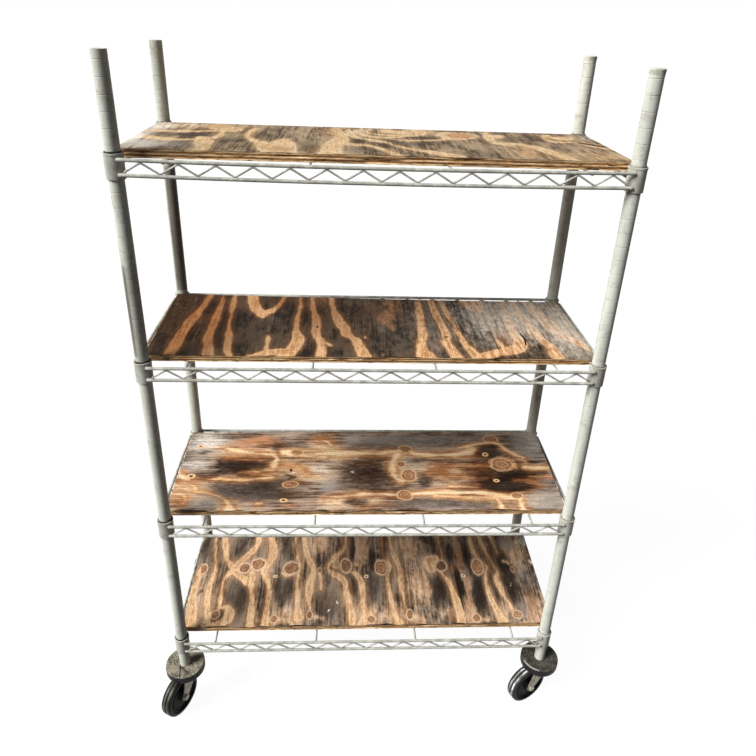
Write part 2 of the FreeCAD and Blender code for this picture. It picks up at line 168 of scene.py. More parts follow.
# Camera, from the photograph's solved view, in pixels, metres and degrees
FRAME_PX = 756
FOCAL_PX = 666.16
CENTRE_PX = (385.33, 344.05)
SENSOR_MM = 36.0
CAMERA_PLACE = (-0.0555, -1.2880, 1.5513)
CAMERA_TURN = (63.579, -2.070, -2.738)

# Studio: a sun has its energy, and its softness, tilt and turn in degrees
SUNS = {"key": (5.2, 29, 51, -63), "side": (0.9, 20, 76, -112)}
SUN_COLOUR = (1.0, 0.985, 0.955)
WHITE = (1.0, 1.0, 1.0, 1.0)
SKY_LIGHT = 0.07
FLOOR_REACH = 60.0
FLOOR_TONE = (0.07, 0.07, 0.07, 1.0)
FLOOR_WHITENESS = 0.96


def srgb(red, green, blue):
    """Linear colour from the 0 to 255 values that a screen shows."""
    share = np.array([red, green, blue]) / 255.0
    linear = np.where(share <= 0.04045, share / 12.92, ((share + 0.055) / 1.055) ** 2.4)
    return tuple(float(value) for value in linear) + (1.0,)


def node_box(node):
    """Lowest and highest corner of a frame node, in millimetres."""
    low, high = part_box(node)
    return np.array(low) / MM, np.array(high) / MM


def post_axis(corner):
    """X and Y of a post's axis, in millimetres."""
    low, high = node_box("post_" + corner)
    return (low[:2] + high[:2]) / 2


def rod_height(tier):
    """Height of a shelf's upper rods, in millimetres."""
    return node_box("shelf_" + tier)[1][2] - COLLAR_ABOVE_ROD


# Surfaces on grids


def surface(points, close_rows=False, close_cols=False, paint=0):
    """A grid of points with the directions that wrap round and its material's number."""
    rows, cols = points.shape[:2]
    row = np.arange(rows if close_rows else rows - 1)
    col = np.arange(cols if close_cols else cols - 1)
    row, col = np.meshgrid(row, col, indexing="ij")
    next_row, next_col = (row + 1) % rows, (col + 1) % cols
    quads = np.stack([
        row * cols + col, row * cols + next_col, next_row * cols + next_col, next_row * cols + col,
    ], -1)
    return {"points": points.reshape(-1, 3), "faces": quads.reshape(-1, 4), "paint": paint}


def turned(profile, segments=48, close=False):
    """Surface of revolution: a profile point (r, h) at angle a goes to (r cos a, r sin a, h)."""
    profile = np.asarray(profile, float)
    angle = np.linspace(0, 2 * np.pi, segments, endpoint=False)
    radius, height = profile[:, :1], profile[:, 1:]
    points = np.stack([
        radius * np.cos(angle), radius * np.sin(angle), np.broadcast_to(height, (len(profile), segments)),
    ], -1)
    return surface(points, close_rows=close, close_cols=True)


def tube(path, radius, normal, sides=14):
    """A circle carried along a path: at each point it is spanned by a fixed normal n and by tangent x n.

    A radius given as an array changes along the path, so zeros at its ends close the tube.
    """
    path = np.asarray(path, float)
    tangent = np.gradient(path, axis=0)
    tangent /= np.linalg.norm(tangent, axis=1, keepdims=True)
    normal = np.asarray(normal, float)
    side = np.cross(tangent, normal)
    side /= np.linalg.norm(side, axis=1, keepdims=True)
    angle = np.linspace(0, 2 * np.pi, sides, endpoint=False)
    reach = np.broadcast_to(radius, len(path))[:, None, None]
    ring = np.cos(angle)[:, None] * normal + np.sin(angle)[:, None] * side[:, None, :]
    return surface(path[:, None, :] + reach * ring, close_cols=True)


def closed_ends(count, radius):
    """Radius at each point of a wire: the same all along, and zero at both ends, so that the tube closes."""
    reach = np.full(count, radius)
    reach[[0, -1]] = 0.0
    return reach


def rounded_ends(length, radius, steps=6):
    """Distances along a bar of a length and its radius there, a quarter circle at both ends."""
    angle = np.linspace(0, np.pi / 2, steps)
    start, rise = radius * (1 - np.cos(angle)), radius * np.sin(angle)
    middle = np.linspace(radius, length - radius, ROD_STEPS + 2)[1:-1]
    along = np.concatenate([start, middle, length - start[::-1]])
    return along, np.concatenate([rise, np.full(ROD_STEPS, radius), rise[::-1]])


def rod(start, end, radius, normal):
    """Straight bar from start to end with its ends rounded off."""
    start, end = np.asarray(start, float), np.asarray(end, float)
    length = np.linalg.norm(end - start)
    along, reach = rounded_ends(length, radius)
    path = start + (end - start) * (along / length)[:, None]
    return tube(path, reach, normal)


def arc(centre, radius, start, end, steps=6):
    """Points of a circular arc in a profile plane, angles in degrees."""
    angle = np.radians(np.linspace(start, end, steps))
    return np.stack([centre[0] + radius * np.cos(angle), centre[1] + radius * np.sin(angle)], 1)


def moved(part, shift=(0, 0, 0), turn=0.0):
    """A surface turned about Z by an angle in radians and then shifted."""
    points = part["points"]
    cos, sin = math.cos(turn), math.sin(turn)
    spun = points @ np.array([[cos, sin, 0], [-sin, cos, 0], [0, 0, 1]])
    return {**part, "points": spun + np.asarray(shift, float)}


def make_piece(name, body, surfaces, materials, replaced=(), sharp=40.0, polygons=()):
    """A finished piece: grids joined in one mesh, seams and poles merged, faces turned outwards."""
    starts = np.cumsum([0] + [len(part["points"]) for part in surfaces])
    points = np.concatenate([part["points"] for part in surfaces]) * MM
    faces = []
    paints = []
    for part, start in zip(surfaces, starts):
        faces += (part["faces"] + start).tolist()
        paints += [part["paint"]] * len(part["faces"])
    for corners, paint in polygons:
        faces.append(corners)
        paints.append(paint)
    mesh = bpy.data.meshes.new(name)
    mesh.from_pydata(points.tolist(), [], faces)
    mesh.polygons.foreach_set("material_index", paints)
    work = bmesh.new()
    work.from_mesh(mesh)
    bmesh.ops.remove_doubles(work, verts=work.verts, dist=1e-6)
    bmesh.ops.recalc_face_normals(work, faces=work.faces)
    work.to_mesh(mesh)
    work.free()
    mesh.polygons.foreach_set("use_smooth", np.ones(len(mesh.polygons), bool))
    mesh.set_sharp_from_angle(angle=math.radians(sharp))
    for material in materials:
        mesh.materials.append(material)
    made = bpy.data.objects.new(name, mesh)
    bpy.context.scene.collection.objects.link(made)
    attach(made, body)
    if replaced:
        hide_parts(*replaced)
    return made


def mesh_points(made):
    """Vertex places of a piece, in millimetres."""
    places = np.empty(len(made.data.vertices) * 3)
    made.data.vertices.foreach_get("co", places)
    return places.reshape(-1, 3) / MM


def add_values(made, name, values):
    """One number per vertex, stored as a named attribute."""
    layer = made.data.attributes.new(name, "FLOAT", "POINT")
    layer.data.foreach_set("value", np.asarray(values, np.float32))


def ripple(x, y, seed):
    """Smooth wander between about -1 and 1: a sum of crossed sine waves with unrelated lengths, in mm."""
    waves = ((0.043, 0.017, 1.0), (0.019, -0.061, 0.8), (0.097, 0.052, 0.5), (-0.071, 0.139, 0.35))
    total = 0.0
    for index, (along, across, weight) in enumerate(waves):
        total = total + weight * np.sin(along * x + across * y + seed * (index + 1.7))
    return total / 2.0


def soft_spot(distance, spread):
    """Bell curve: 1 at no distance, falling as exp(-d^2 / 2) with d the distance in spreads."""
    return np.exp(-0.5 * (distance / spread) ** 2)


# Shader nodes


class Graph:
    """Short calls that add nodes to one shader tree and join them."""

    def __init__(self, tree):
        self.tree = tree

    def link(self, source, target):
        """Join an output to an input."""
        self.tree.links.new(source, target)

    def feed(self, target, value):
        """Give an input a socket to link or a plain value."""
        if isinstance(value, bpy.types.NodeSocket):
            self.link(value, target)
        else:
            target.default_value = value

    def add(self, kind, inputs=(), **settings):
        """A node with its settings; each input takes a socket to link or a plain value."""
        made = self.tree.nodes.new(kind)
        for key, value in settings.items():
            setattr(made, key, value)
        for key, value in dict(inputs).items():
            self.feed(made.inputs[key], value)
        return made

    def group(self, tree, **inputs):
        """A shader group; its sockets are named as the inputs here, with a capital."""
        made = self.add("ShaderNodeGroup", node_tree=tree)
        for key, value in inputs.items():
            self.feed(made.inputs[key.title()], value)
        return made.outputs

    def math(self, operation, first, second=0.0):
        return self.add("ShaderNodeMath", {0: first, 1: second}, operation=operation).outputs[0]

    def times(self, first, second):
        return self.math("MULTIPLY", first, second)

    def plus(self, first, second, share=None):
        """First plus second, or plus a share of it."""
        return self.math("ADD", first, second if share is None else self.times(second, share))

    def centred(self, value):
        """A value between 0 and 1 moved to lie about zero."""
        return self.math("SUBTRACT", value, 0.5)

    def mix(self, share, first, second, blend="MIX"):
        """Two colours mixed; the node's sockets 0, 6 and 7 are the share and the colours."""
        made = self.add(
            "ShaderNodeMix", {0: share, 6: first, 7: second}, data_type="RGBA", blend_type=blend,
        )
        return made.outputs[2]

    def stain(self, colour, mask, share, tone):
        """A tone over a colour, as strong as a share of a mask."""
        return self.mix(self.times(mask, share), colour, tone)

    def step(self, value, low, high, out_low=0.0, out_high=1.0):
        """Smooth step of a value between two levels."""
        made = self.add("ShaderNodeMapRange", {
            "Value": value, "From Min": low, "From Max": high, "To Min": out_low, "To Max": out_high,
        }, interpolation_type="SMOOTHSTEP")
        return made.outputs[0]

    def noise(self, vector, scale, detail=3.0, roughness=0.55):
        """Noise at a scale, which is one number or one for each axis."""
        if isinstance(scale, tuple):
            vector, scale = self.stretch(vector, scale), 1.0
        made = self.add("ShaderNodeTexNoise", {
            "Vector": vector, "Scale": scale, "Detail": detail, "Roughness": roughness,
        })
        return made.outputs["Fac"]

    def waves(self, value, pace):
        """Sine of a value times a pace."""
        return self.math("SINE", self.times(value, pace))

    def stretch(self, vector, scale, turn=0.0):
        made = self.add("ShaderNodeMapping", {
            "Vector": vector, "Scale": scale, "Rotation": (0.0, 0.0, turn),
        })
        return made.outputs[0]

    def place(self, turn=None):
        """Object coordinates, turned about Z where an angle in radians is given."""
        plain = self.add("ShaderNodeTexCoord").outputs["Object"]
        return plain if turn is None else self.stretch(plain, (1.0, 1.0, 1.0), turn)

    def value(self, name):
        """A number stored on the mesh."""
        return self.add("ShaderNodeAttribute", attribute_name=name).outputs["Fac"]

    def seen_directly(self):
        """1 for what the camera, a reflection or glass shows, and 0 for light on other surfaces."""
        path = self.add("ShaderNodeLightPath").outputs
        through = self.math("MAXIMUM", path["Is Glossy Ray"], path["Is Transmission Ray"])
        return self.math("MAXIMUM", path["Is Camera Ray"], through)

    def dress(self, shader, colour, height, strength, distance, roughness=None):
        """Join a colour, a bump and, where it changes over the surface, a roughness to a shader."""
        bump = self.add("ShaderNodeBump", {"Strength": strength, "Distance": distance, "Height": height})
        self.link(colour, shader["Base Color"])
        self.link(bump.outputs[0], shader["Normal"])
        if roughness is not None:
            self.link(roughness, shader["Roughness"])


def new_group(name, inputs, outputs):
    """An empty shader group with named sockets, and its graph, input and output nodes."""
    tree = bpy.data.node_groups.new(name, "ShaderNodeTree")
    for label, kind in inputs:
        tree.interface.new_socket(label, in_out="INPUT", socket_type="NodeSocket" + kind)
    for label, kind in outputs:
        tree.interface.new_socket(label, in_out="OUTPUT", socket_type="NodeSocket" + kind)
    graph = Graph(tree)
    return tree, graph, graph.add("NodeGroupInput").outputs, graph.add("NodeGroupOutput").inputs


def fibre_group():
    """Wood fibre along local Y: threads of two widths and slow patches, each spread over 0 to 1."""
    tree, graph, given, put = new_group(
        "wood_fibre", [("Vector", "Vector")], [("Threads", "Float"), ("Patch", "Float")],
    )
    fine = graph.noise(given["Vector"], (430.0, 14.0, 60.0), 3.0, 0.65)
    broad = graph.noise(given["Vector"], (150.0, 5.0, 30.0), 3.0, 0.6)
    patch = graph.noise(given["Vector"], (26.0, 9.0, 10.0), 5.0, 0.62)
    threads = graph.plus(graph.times(fine, 0.55), broad, 0.45)
    graph.link(graph.step(threads, 0.36, 0.64), put["Threads"])
    graph.link(graph.step(patch, 0.3, 0.7), put["Patch"])
    return tree


def grime_group():
    """Blotches of dirt: two noises added and cut at a level set by Cover."""
    tree, graph, given, put = new_group(
        "grime", [("Vector", "Vector"), ("Scale", "Float"), ("Cover", "Float")], [("Mask", "Float")],
    )
    large = graph.noise(given["Vector"], given["Scale"], 5.0, 0.6)
    small = graph.noise(given["Vector"], graph.times(given["Scale"], 6.3), 4.0, 0.65)
    both = graph.plus(graph.times(large, 0.65), small, 0.35)
    level = graph.math("SUBTRACT", 0.66, graph.times(given["Cover"], 0.32))
    graph.link(graph.step(graph.math("SUBTRACT", both, level), -0.07, 0.07), put["Mask"])
    return tree


def speck_group():
    """Small round specks: cells of a Voronoi pattern nearer than Size, thinned out by their colours."""
    tree, graph, given, put = new_group(
        "specks", [("Vector", "Vector"), ("Scale", "Float"), ("Size", "Float")], [("Mask", "Float")],
    )
    cells = graph.add("ShaderNodeTexVoronoi", {"Vector": given["Vector"], "Scale": given["Scale"]})
    near = graph.math("LESS_THAN", cells.outputs["Distance"], given["Size"])
    chosen = graph.add("ShaderNodeSeparateColor", {"Color": cells.outputs["Color"]})
    kept = graph.math("GREATER_THAN", chosen.outputs[0], 0.72)
    graph.link(graph.times(near, kept), put["Mask"])
    return tree


FIBRE = fibre_group()
GRIME = grime_group()
SPECKS = speck_group()


def new_material(name, **constants):
    """A material with one Principled shader; constants are set on the shader's own sockets."""
    material = bpy.data.materials.new(name)
    material.use_nodes = True
    graph = Graph(material.node_tree)
    shader = material.node_tree.nodes["Principled BSDF"]
    for label, value in constants.items():
        shader.inputs[label.replace("_", " ").title().replace("Ior", "IOR")].default_value = value
    return material, graph, shader.inputs


def enamel(name, light, dull, cover, grooves):
    """Worn silver enamel: slow mottling, dirt, rubbed specks and, on posts, dark grooves and brown marks of
    wear and painted dark reflection.
    """
    material, graph, shader = new_material(name, specular_ior_level=0.12)
    place = graph.place()
    blotch = graph.noise(place, (60.0, 60.0, 9.0), 5.0, 0.6)
    colour = graph.mix(graph.step(blotch, 0.35, 0.7), light, dull)
    dirt = graph.group(GRIME, vector=place, scale=42.0, cover=cover)["Mask"]
    colour = graph.stain(colour, dirt, 0.35, srgb(112, 106, 92))
    specks = graph.group(SPECKS, vector=place, scale=210.0, size=0.16)["Mask"]
    colour = graph.stain(colour, specks, 0.5, srgb(92, 84, 72))
    if grooves:
        # Brown marks on the posts: part wear, part painted dark reflection of dark surroundings
        mark_share = graph.step(blotch, 0.3, 0.7, 1.0, 0.8)
        colour = graph.stain(colour, graph.value("dark_mark"), mark_share, srgb(84, 75, 65))
        colour = graph.stain(colour, graph.value("groove"), 0.3, srgb(92, 86, 74))
    graph.dress(shader, colour, blotch, 0.08, 0.001, graph.step(blotch, 0.2, 0.8, 0.34, 0.55))
    return material


def moulding(name, colour, dusty):
    """Moulded plastic with a fine grain and blotches of dust."""
    material, graph, shader = new_material(name, specular_ior_level=0.08)
    place = graph.place()
    grain = graph.noise(place, 900.0, 2.0)
    dirt = graph.group(GRIME, vector=place, scale=70.0, cover=0.45)["Mask"]
    tone = graph.stain(colour, dirt, 0.6, dusty)
    graph.dress(shader, tone, grain, 0.15, 0.0004, graph.step(grain, 0.2, 0.8, 0.42, 0.62))
    return material


def bare_steel(name, colour, dusty):
    """Dull plated steel with rubbed streaks."""
    material, graph, shader = new_material(name, metallic=0.55)
    place = graph.place()
    streak = graph.noise(place, (90.0, 90.0, 260.0), 4.0)
    dirt = graph.group(GRIME, vector=place, scale=60.0, cover=0.5)["Mask"]
    tone = graph.stain(colour, dirt, 0.7, dusty)
    graph.dress(shader, tone, streak, 0.1, 0.0005, graph.step(streak, 0.25, 0.75, 0.35, 0.6))
    return material


# Veneer tones of each board as a screen shows them, and the looks of its golden bands: strength of the glow,
# reach of the warm ground round them in mm, share of the threads in the light, depths in mm between which the
# edge turns into the core, how much slimmer than drawn they are, and their fraying and softness in mm.

# In each board's tones, the pale grey tone listed after soot is a painted sheen: glare on the finish put into
# the colour.
VENEER_TONES = {
    "top": dict(
        char=(74, 60, 45), smoke=(168, 147, 120), brown=(108, 87, 64), ground=(186, 160, 128),
        rust=(202, 164, 122), soot=(52, 42, 32), sheen=(200, 196, 188), rim=(176, 142, 104),
        haze=(214, 182, 142), ember=(204, 168, 128), edge=(250, 228, 198), gold=(196, 160, 118),
        core=(230, 200, 158), pale=(252, 242, 226),
    ),
    "upper": dict(
        char=(34, 27, 21), smoke=(98, 83, 68), brown=(44, 32, 23), ground=(112, 86, 64),
        rust=(164, 120, 94), soot=(22, 16, 11), sheen=(180, 168, 153), rim=(142, 100, 68),
        haze=(160, 124, 96), ember=(198, 152, 116), edge=(248, 206, 160), gold=(192, 140, 94),
        core=(248, 202, 154), pale=(252, 236, 218),
    ),
    "lower": dict(
        char=(86, 66, 53), smoke=(196, 174, 156), brown=(92, 60, 42), ground=(218, 174, 136),
        rust=(200, 138, 98), soot=(24, 15, 10), sheen=(178, 170, 162), rim=(190, 124, 74),
        haze=(255, 226, 184), ember=(240, 190, 140), edge=(250, 206, 152), gold=(254, 222, 176),
        core=(255, 238, 204), pale=(246, 236, 226),
    ),
    "bottom": dict(
        char=(64, 52, 43), smoke=(156, 138, 121), brown=(64, 45, 33), ground=(182, 146, 114),
        rust=(190, 140, 104), soot=(34, 25, 20), sheen=(178, 171, 162), rim=(176, 134, 98),
        haze=(246, 212, 180), ember=(236, 200, 166), edge=(252, 222, 184), gold=(200, 154, 112),
        core=(244, 206, 162), pale=(252, 242, 226),
    ),
}
BAND_LOOKS = {
    "top": dict(glow=0.3, warmth=14.0, streak=0.3, rise=(0.0, 4.0), slim=0.0, fray=7.0, soft=4.5),
    "upper": dict(glow=0.4, warmth=11.0, streak=0.22, rise=(0.0, 4.0), slim=0.3, fray=5.0, soft=3.2),
    "lower": dict(glow=0.6, warmth=24.0, streak=0.42, rise=(1.5, 9.0), slim=1.8, fray=12.0, soft=5.0),
    "bottom": dict(glow=0.5, warmth=11.0, streak=0.3, rise=(0.0, 4.0), slim=1.0, fray=7.0, soft=3.2),
}


def lay_knots(graph, colour, tones, sway, mottle):
    """Knots over a veneer: faint rings, a lighter halo, a whorled heart with a dark rim, and pin knots.

    Each is a band of the distance to the nearest knot, which the veneer's patches and mottling make uneven.
    """
    ring = graph.plus(graph.value("knot"), sway, 0.45)
    ring = graph.plus(ring, graph.centred(mottle), 0.18)
    orbit = graph.times(graph.step(graph.waves(ring, 15.0), 0.1, 0.9), graph.step(ring, 1.9, 1.15, 0.0, 0.3))
    colour = graph.mix(orbit, colour, tones["ember"])
    halo = graph.times(graph.step(ring, 0.98, 1.08), graph.step(ring, 1.45, 1.1))
    colour = graph.stain(colour, halo, 0.85, tones["ember"])
    whorl = graph.plus(graph.step(graph.waves(ring, 12.0), -0.9, 0.9, 0.0, 0.4), mottle, 0.6)
    heart = graph.mix(whorl, srgb(58, 37, 27), srgb(128, 88, 63))
    lit_heart = graph.mix(whorl, srgb(158, 106, 74), srgb(228, 176, 130))
    heart = graph.mix(graph.value("heart"), heart, lit_heart)
    heart = graph.stain(heart, graph.step(ring, 0.8, 0.95), 0.5, srgb(66, 40, 28))
    colour = graph.mix(graph.step(ring, 1.08, 0.9, 0.0, 0.9), colour, heart)
    pin = graph.value("pin")
    colour = graph.mix(graph.step(pin, 1.3, 0.9), colour, tones["edge"])
    return graph.mix(graph.step(pin, 0.65, 0.35), colour, srgb(64, 42, 30))


def scorched_veneer(tier):
    """Torched face veneer: ground, clouds with a painted sheen among them, dim and golden bands, burns, pale
    clouds that are partly painted light, knots, splits and grit, in order.

    The ground is a warm brown near a golden band and a cool char far from it. A band takes its edge tone
    where its depth passes zero and its core tones further in.
    """
    material, graph, shader = new_material("veneer_" + tier, specular_ior_level=0.08)
    tones = {part: srgb(*screen) for part, screen in VENEER_TONES[tier].items()}
    look = BAND_LOOKS[tier]
    place = graph.place(GRAIN_TURN[tier])
    fibre = graph.group(FIBRE, vector=place)
    threads, patch = fibre["Threads"], fibre["Patch"]
    mottle = graph.step(graph.noise(place, (95.0, 45.0, 45.0), 6.0, 0.72), 0.34, 0.66)
    uneven, sway = graph.centred(threads), graph.centred(patch)
    rough = graph.plus(uneven, graph.centred(mottle))

    def layer(colour, name, spread, tone, most=1.0, full=0.9):
        """Tone laid over where a soft value, broken up by the fibres and mottling, is strong."""
        broken = graph.plus(graph.value(name), rough, spread / 2)
        return graph.mix(graph.step(broken, full - 0.8, full, 0.0, most), colour, tone)

    shiver = graph.times(graph.plus(sway, uneven, 0.4), look["fray"])
    depth = graph.plus(graph.math("SUBTRACT", graph.value("gold"), look["slim"]), shiver)
    light = graph.plus(graph.times(threads, look["streak"]), patch, 0.5)
    light = graph.step(graph.plus(light, mottle, 0.5 - look["streak"]), 0.24, 0.76)
    cool = graph.mix(light, tones["char"], tones["smoke"])
    warm = graph.mix(light, tones["brown"], tones["ground"])
    colour = graph.mix(graph.step(depth, -look["warmth"], -2.0), cool, warm)
    # Painted sheen: a pale grey glare laid over the ground where its clouds are strong
    colour = layer(colour, "sheen", 0.3, tones["sheen"], 0.8)
    colour = layer(colour, "rust", 0.8, graph.mix(light, tones["brown"], tones["rust"]))
    colour = layer(colour, "haze", 0.4, graph.mix(light, tones["rim"], tones["haze"]), 0.95, 0.8)
    colour = layer(colour, "soot", 0.6, tones["soot"], 0.9)
    ember = graph.step(graph.plus(graph.value("ember"), shiver, 2.5), -6.0, 7.0, 0.0, 0.8)
    colour = graph.mix(ember, colour, graph.mix(mottle, tones["rim"], tones["ember"]))
    colour = graph.mix(graph.step(depth, -14.0, 0.5, 0.0, look["glow"]), colour, tones["rim"])
    core = graph.mix(graph.step(graph.plus(threads, mottle), 0.5, 1.5), tones["gold"], tones["core"])
    edge = graph.mix(graph.step(patch, 0.2, 0.8), core, tones["edge"])
    golden = graph.mix(graph.step(graph.plus(depth, uneven, 3.0), *look["rise"]), edge, core)
    band = graph.step(depth, -look["soft"], look["soft"])
    colour = graph.mix(band, colour, golden)
    burnt = graph.mix(1.0, colour, srgb(170, 144, 122), "MULTIPLY")
    colour = layer(colour, "burn", 0.5, burnt)
    # Pale clouds; on the upper board's right and the top board's left end they are painted light
    colour = layer(colour, "pale", 0.5, tones["pale"])
    colour = lay_knots(graph, colour, tones, sway, mottle)
    split = graph.plus(graph.value("crack"), uneven, 1.6)
    colour = graph.mix(graph.step(split, -0.8, 0.8), colour, srgb(24, 17, 12))
    grit = graph.step(graph.noise(place, 380.0, 2.0, 0.6), 0.52, 0.36, 0.0, 0.36)
    colour = graph.mix(grit, colour, tones["soot"])
    relief = graph.plus(graph.times(threads, 0.7), band, 0.3)
    graph.dress(shader, colour, relief, 0.25, 0.0005, graph.step(threads, 0.0, 1.0, 0.8, 0.65))
    return material


def ply_edge(name):
    """Cut edge of the plywood: pale and dark plies with burnt glue lines and torn black gaps."""
    material, graph, shader = new_material(name, specular_ior_level=0.25, roughness=0.75)
    place = graph.place()
    wave = graph.noise(place, (9.0, 9.0, 30.0), 4.0)
    level = graph.plus(graph.times(graph.value("ply"), float(PLY_COUNT)), graph.centred(wave), 0.9)
    odd = graph.step(graph.waves(level, math.pi), -0.4, 0.4)
    threads = graph.noise(place, (60.0, 60.0, 900.0), 4.0, 0.65)
    pale = graph.mix(graph.step(threads, 0.38, 0.62), srgb(204, 150, 98), srgb(255, 228, 178))
    dark = graph.mix(graph.step(threads, 0.4, 0.62), srgb(104, 66, 38), srgb(190, 138, 88))
    colour = graph.mix(odd, dark, pale)
    glue = graph.step(graph.math("FRACT", level), 0.2, 0.04)
    tear = graph.noise(place, (34.0, 34.0, 300.0), 6.0, 0.75)
    burnt = graph.math("MAXIMUM", graph.times(glue, 0.7), graph.step(tear, 0.54, 0.62))
    colour = graph.mix(burnt, colour, srgb(34, 22, 14))
    scorch = graph.noise(place, (7.0, 7.0, 40.0), 4.0, 0.6)
    colour = graph.mix(graph.step(scorch, 0.45, 0.7, 0.0, 0.5), colour, srgb(58, 36, 22))
    graph.dress(shader, colour, graph.math("SUBTRACT", threads, burnt), 0.5, 0.0008)
    return material


def ply_underside(tier):
    """Plain back veneer, unburnt, with its grain."""
    material, graph, shader = new_material("underside_" + tier, specular_ior_level=0.25, roughness=0.7)
    threads = graph.group(FIBRE, vector=graph.place(GRAIN_TURN[tier]))["Threads"]
    graph.dress(shader, graph.mix(threads, srgb(164, 122, 78), srgb(214, 176, 128)), threads, 0.25, 0.0005)
    return material


def bumper_rubber(name, dull, dusty):
    """Black rubber whose top is dusty, with a rubbed arc and cracks where the mesh marks them."""
    material, graph, shader = new_material(name, specular_ior_level=0.15)
    place = graph.place()
    dirt = graph.group(GRIME, vector=place, scale=75.0, cover=0.55)["Mask"]
    dust = graph.times(graph.value("dust"), graph.step(dirt, 0.0, 1.0, 0.35, 1.0))
    speck = graph.noise(place, 520.0, 3.0)
    colour = graph.mix(dust, srgb(24, 24, 25), graph.mix(graph.step(speck, 0.38, 0.62), dull, dusty))
    colour = graph.mix(graph.value("scuff"), colour, srgb(206, 204, 196))
    colour = graph.mix(graph.value("crack"), colour, srgb(24, 21, 17))
    graph.dress(shader, colour, speck, 0.2, 0.0006, graph.step(dust, 0.0, 1.0, 0.45, 0.8))
    return material


def tyre_rubber(name, tone):
    """Black rubber with a painted highlight in a lighter tone on its tread, broken into patches."""
    material, graph, shader = new_material(name, specular_ior_level=0.12)
    place = graph.place()
    speck = graph.noise(place, 420.0, 3.0)
    patches = graph.step(graph.noise(place, 60.0, 3.0), 0.4, 0.6, 0.25, 1.0)
    colour = graph.stain(srgb(9, 9, 9), graph.value("tread"), patches, tone)
    graph.dress(shader, colour, speck, 0.15, 0.0004, graph.step(speck, 0.2, 0.8, 0.3, 0.5))
    return material


POST_ENAMEL = enamel("post_enamel", srgb(208, 210, 201), srgb(190, 192, 183), 0.24, True)
WIRE_ENAMEL = enamel("wire_enamel", srgb(206, 207, 199), srgb(172, 172, 164), 0.55, False)
CAP_GREY = moulding("cap_grey", srgb(206, 207, 194), srgb(150, 146, 130))
SLEEVE_BLACK = moulding("sleeve_black", srgb(40, 38, 36), srgb(96, 92, 84))
SLEEVE_GREY = moulding("sleeve_grey", srgb(160, 160, 151), srgb(110, 106, 96))
WHEEL_BLACK = moulding("wheel_black", srgb(5, 5, 5), srgb(18, 17, 16))
CASTER_STEEL = bare_steel("caster_steel", srgb(170, 164, 148), srgb(116, 108, 92))
FASTENER_STEEL = bare_steel("fastener_steel", srgb(182, 178, 166), srgb(110, 102, 88))
BEARING_STEEL = bare_steel("bearing_steel", srgb(208, 208, 206), srgb(150, 148, 142))
BUSH_BRASS = bare_steel("bush_brass", srgb(204, 172, 104), srgb(132, 106, 60))
VENEERS = {tier: scorched_veneer(tier) for tier in TIERS}
UNDERSIDES = {tier: ply_underside(tier) for tier in TIERS}
PLY_EDGE = ply_edge("ply_edge")
BUMPER_DUSTY = bumper_rubber("bumper_dusty", srgb(78, 72, 62), srgb(190, 181, 162))
BUMPER_DARK = bumper_rubber("bumper_dark", srgb(24, 24, 24), srgb(112, 107, 98))
# Painted highlights on the treads: dim on the left tyres, bright on the right ones
TYRE_DIM_HIGHLIGHT = tyre_rubber("tyre_dim_highlight", srgb(104, 102, 90))
TYRE_BRIGHT_HIGHLIGHT = tyre_rubber("tyre_rubbed", srgb(232, 234, 234))


# Posts and caps. A brown mark on a post, part wear and part painted dark reflection, is (lowest height,
# highest height, facing, half spread, strength), with heights in millimetres and angles in degrees from x
# towards y; it fades over so many millimetres and degrees.

POST_DARK_MARKS = {
    "front_left": ((965, 1143, 280, 110, 0.3), (965, 1143, 226, 28, 0.95)),
    "rear_left": ((965, 1244, 304, 74, 0.92),),
}
DARK_MARK_FADE = (6.0, 22.0)


def post_profile(base, top, radius):
    """Closed wall section: a cosine groove at every pitch outside, a plain bore inside."""
    count = int((top - base - LOWEST_GROOVE_RISE - GROOVE_WIDTH) // GROOVE_PITCH) + 1
    centres = base + LOWEST_GROOVE_RISE + GROOVE_PITCH * np.arange(count)
    across = np.concatenate([[-GROOVE_BRIM], np.linspace(-1, 1, GROOVE_STEPS), [GROOVE_BRIM]])
    dip = GROOVE_DEPTH * (0.5 + 0.5 * np.cos(np.pi * np.clip(across, -1, 1)))
    heights = (centres[:, None] + across * GROOVE_WIDTH / 2).ravel()
    outer = np.stack([np.tile(radius - dip, count), heights], 1)
    bore = radius - POST_WALL
    return np.vstack([[[radius, base]], outer, [[radius, top], [bore, top], [bore, base]]])


def groove_depth(made, centre, radius):
    """Share of the groove's depth at each vertex of the outer wall, from its distance to the post's axis."""
    places = mesh_points(made)
    reach = np.hypot(places[:, 0] - centre[0], places[:, 1] - centre[1])
    outer = reach > radius - POST_WALL + GROOVE_DEPTH
    return np.where(outer, np.clip((radius - reach) / GROOVE_DEPTH, 0, 1), 0)


def dark_marks(made, corner, centre):
    """Strength of the brown marks, part wear and part painted dark reflection: a soft step at both ends in
    height times one round the post.
    """
    places = mesh_points(made)
    angle = np.degrees(np.arctan2(places[:, 1] - centre[1], places[:, 0] - centre[0]))
    total = np.zeros(len(places))
    for low, high, facing, spread, strength in POST_DARK_MARKS.get(corner, ()):
        inside = np.minimum(places[:, 2] - low, high - places[:, 2]) / DARK_MARK_FADE[0] + 0.5
        aside = np.abs((angle - facing + 180) % 360 - 180)
        around = (spread - aside) / DARK_MARK_FADE[1] + 0.5
        total = np.maximum(total, strength * np.clip(inside, 0, 1) * np.clip(around, 0, 1))
    return total


def make_post(corner):
    """Grooved tube post."""
    low, high = node_box("post_" + corner)
    centre = post_axis(corner)
    radius = (high[0] - low[0]) / 2
    wall = turned(post_profile(low[2], high[2], radius), close=True)
    made = make_piece(
        "post_tube_" + corner, "frame", [moved(wall, (*centre, 0))], [POST_ENAMEL],
        ["post_" + corner], sharp=60.0,
    )
    add_values(made, "groove", groove_depth(made, centre, radius))
    # Brown marks, part wear and part painted dark reflection
    add_values(made, "dark_mark", dark_marks(made, corner, centre))


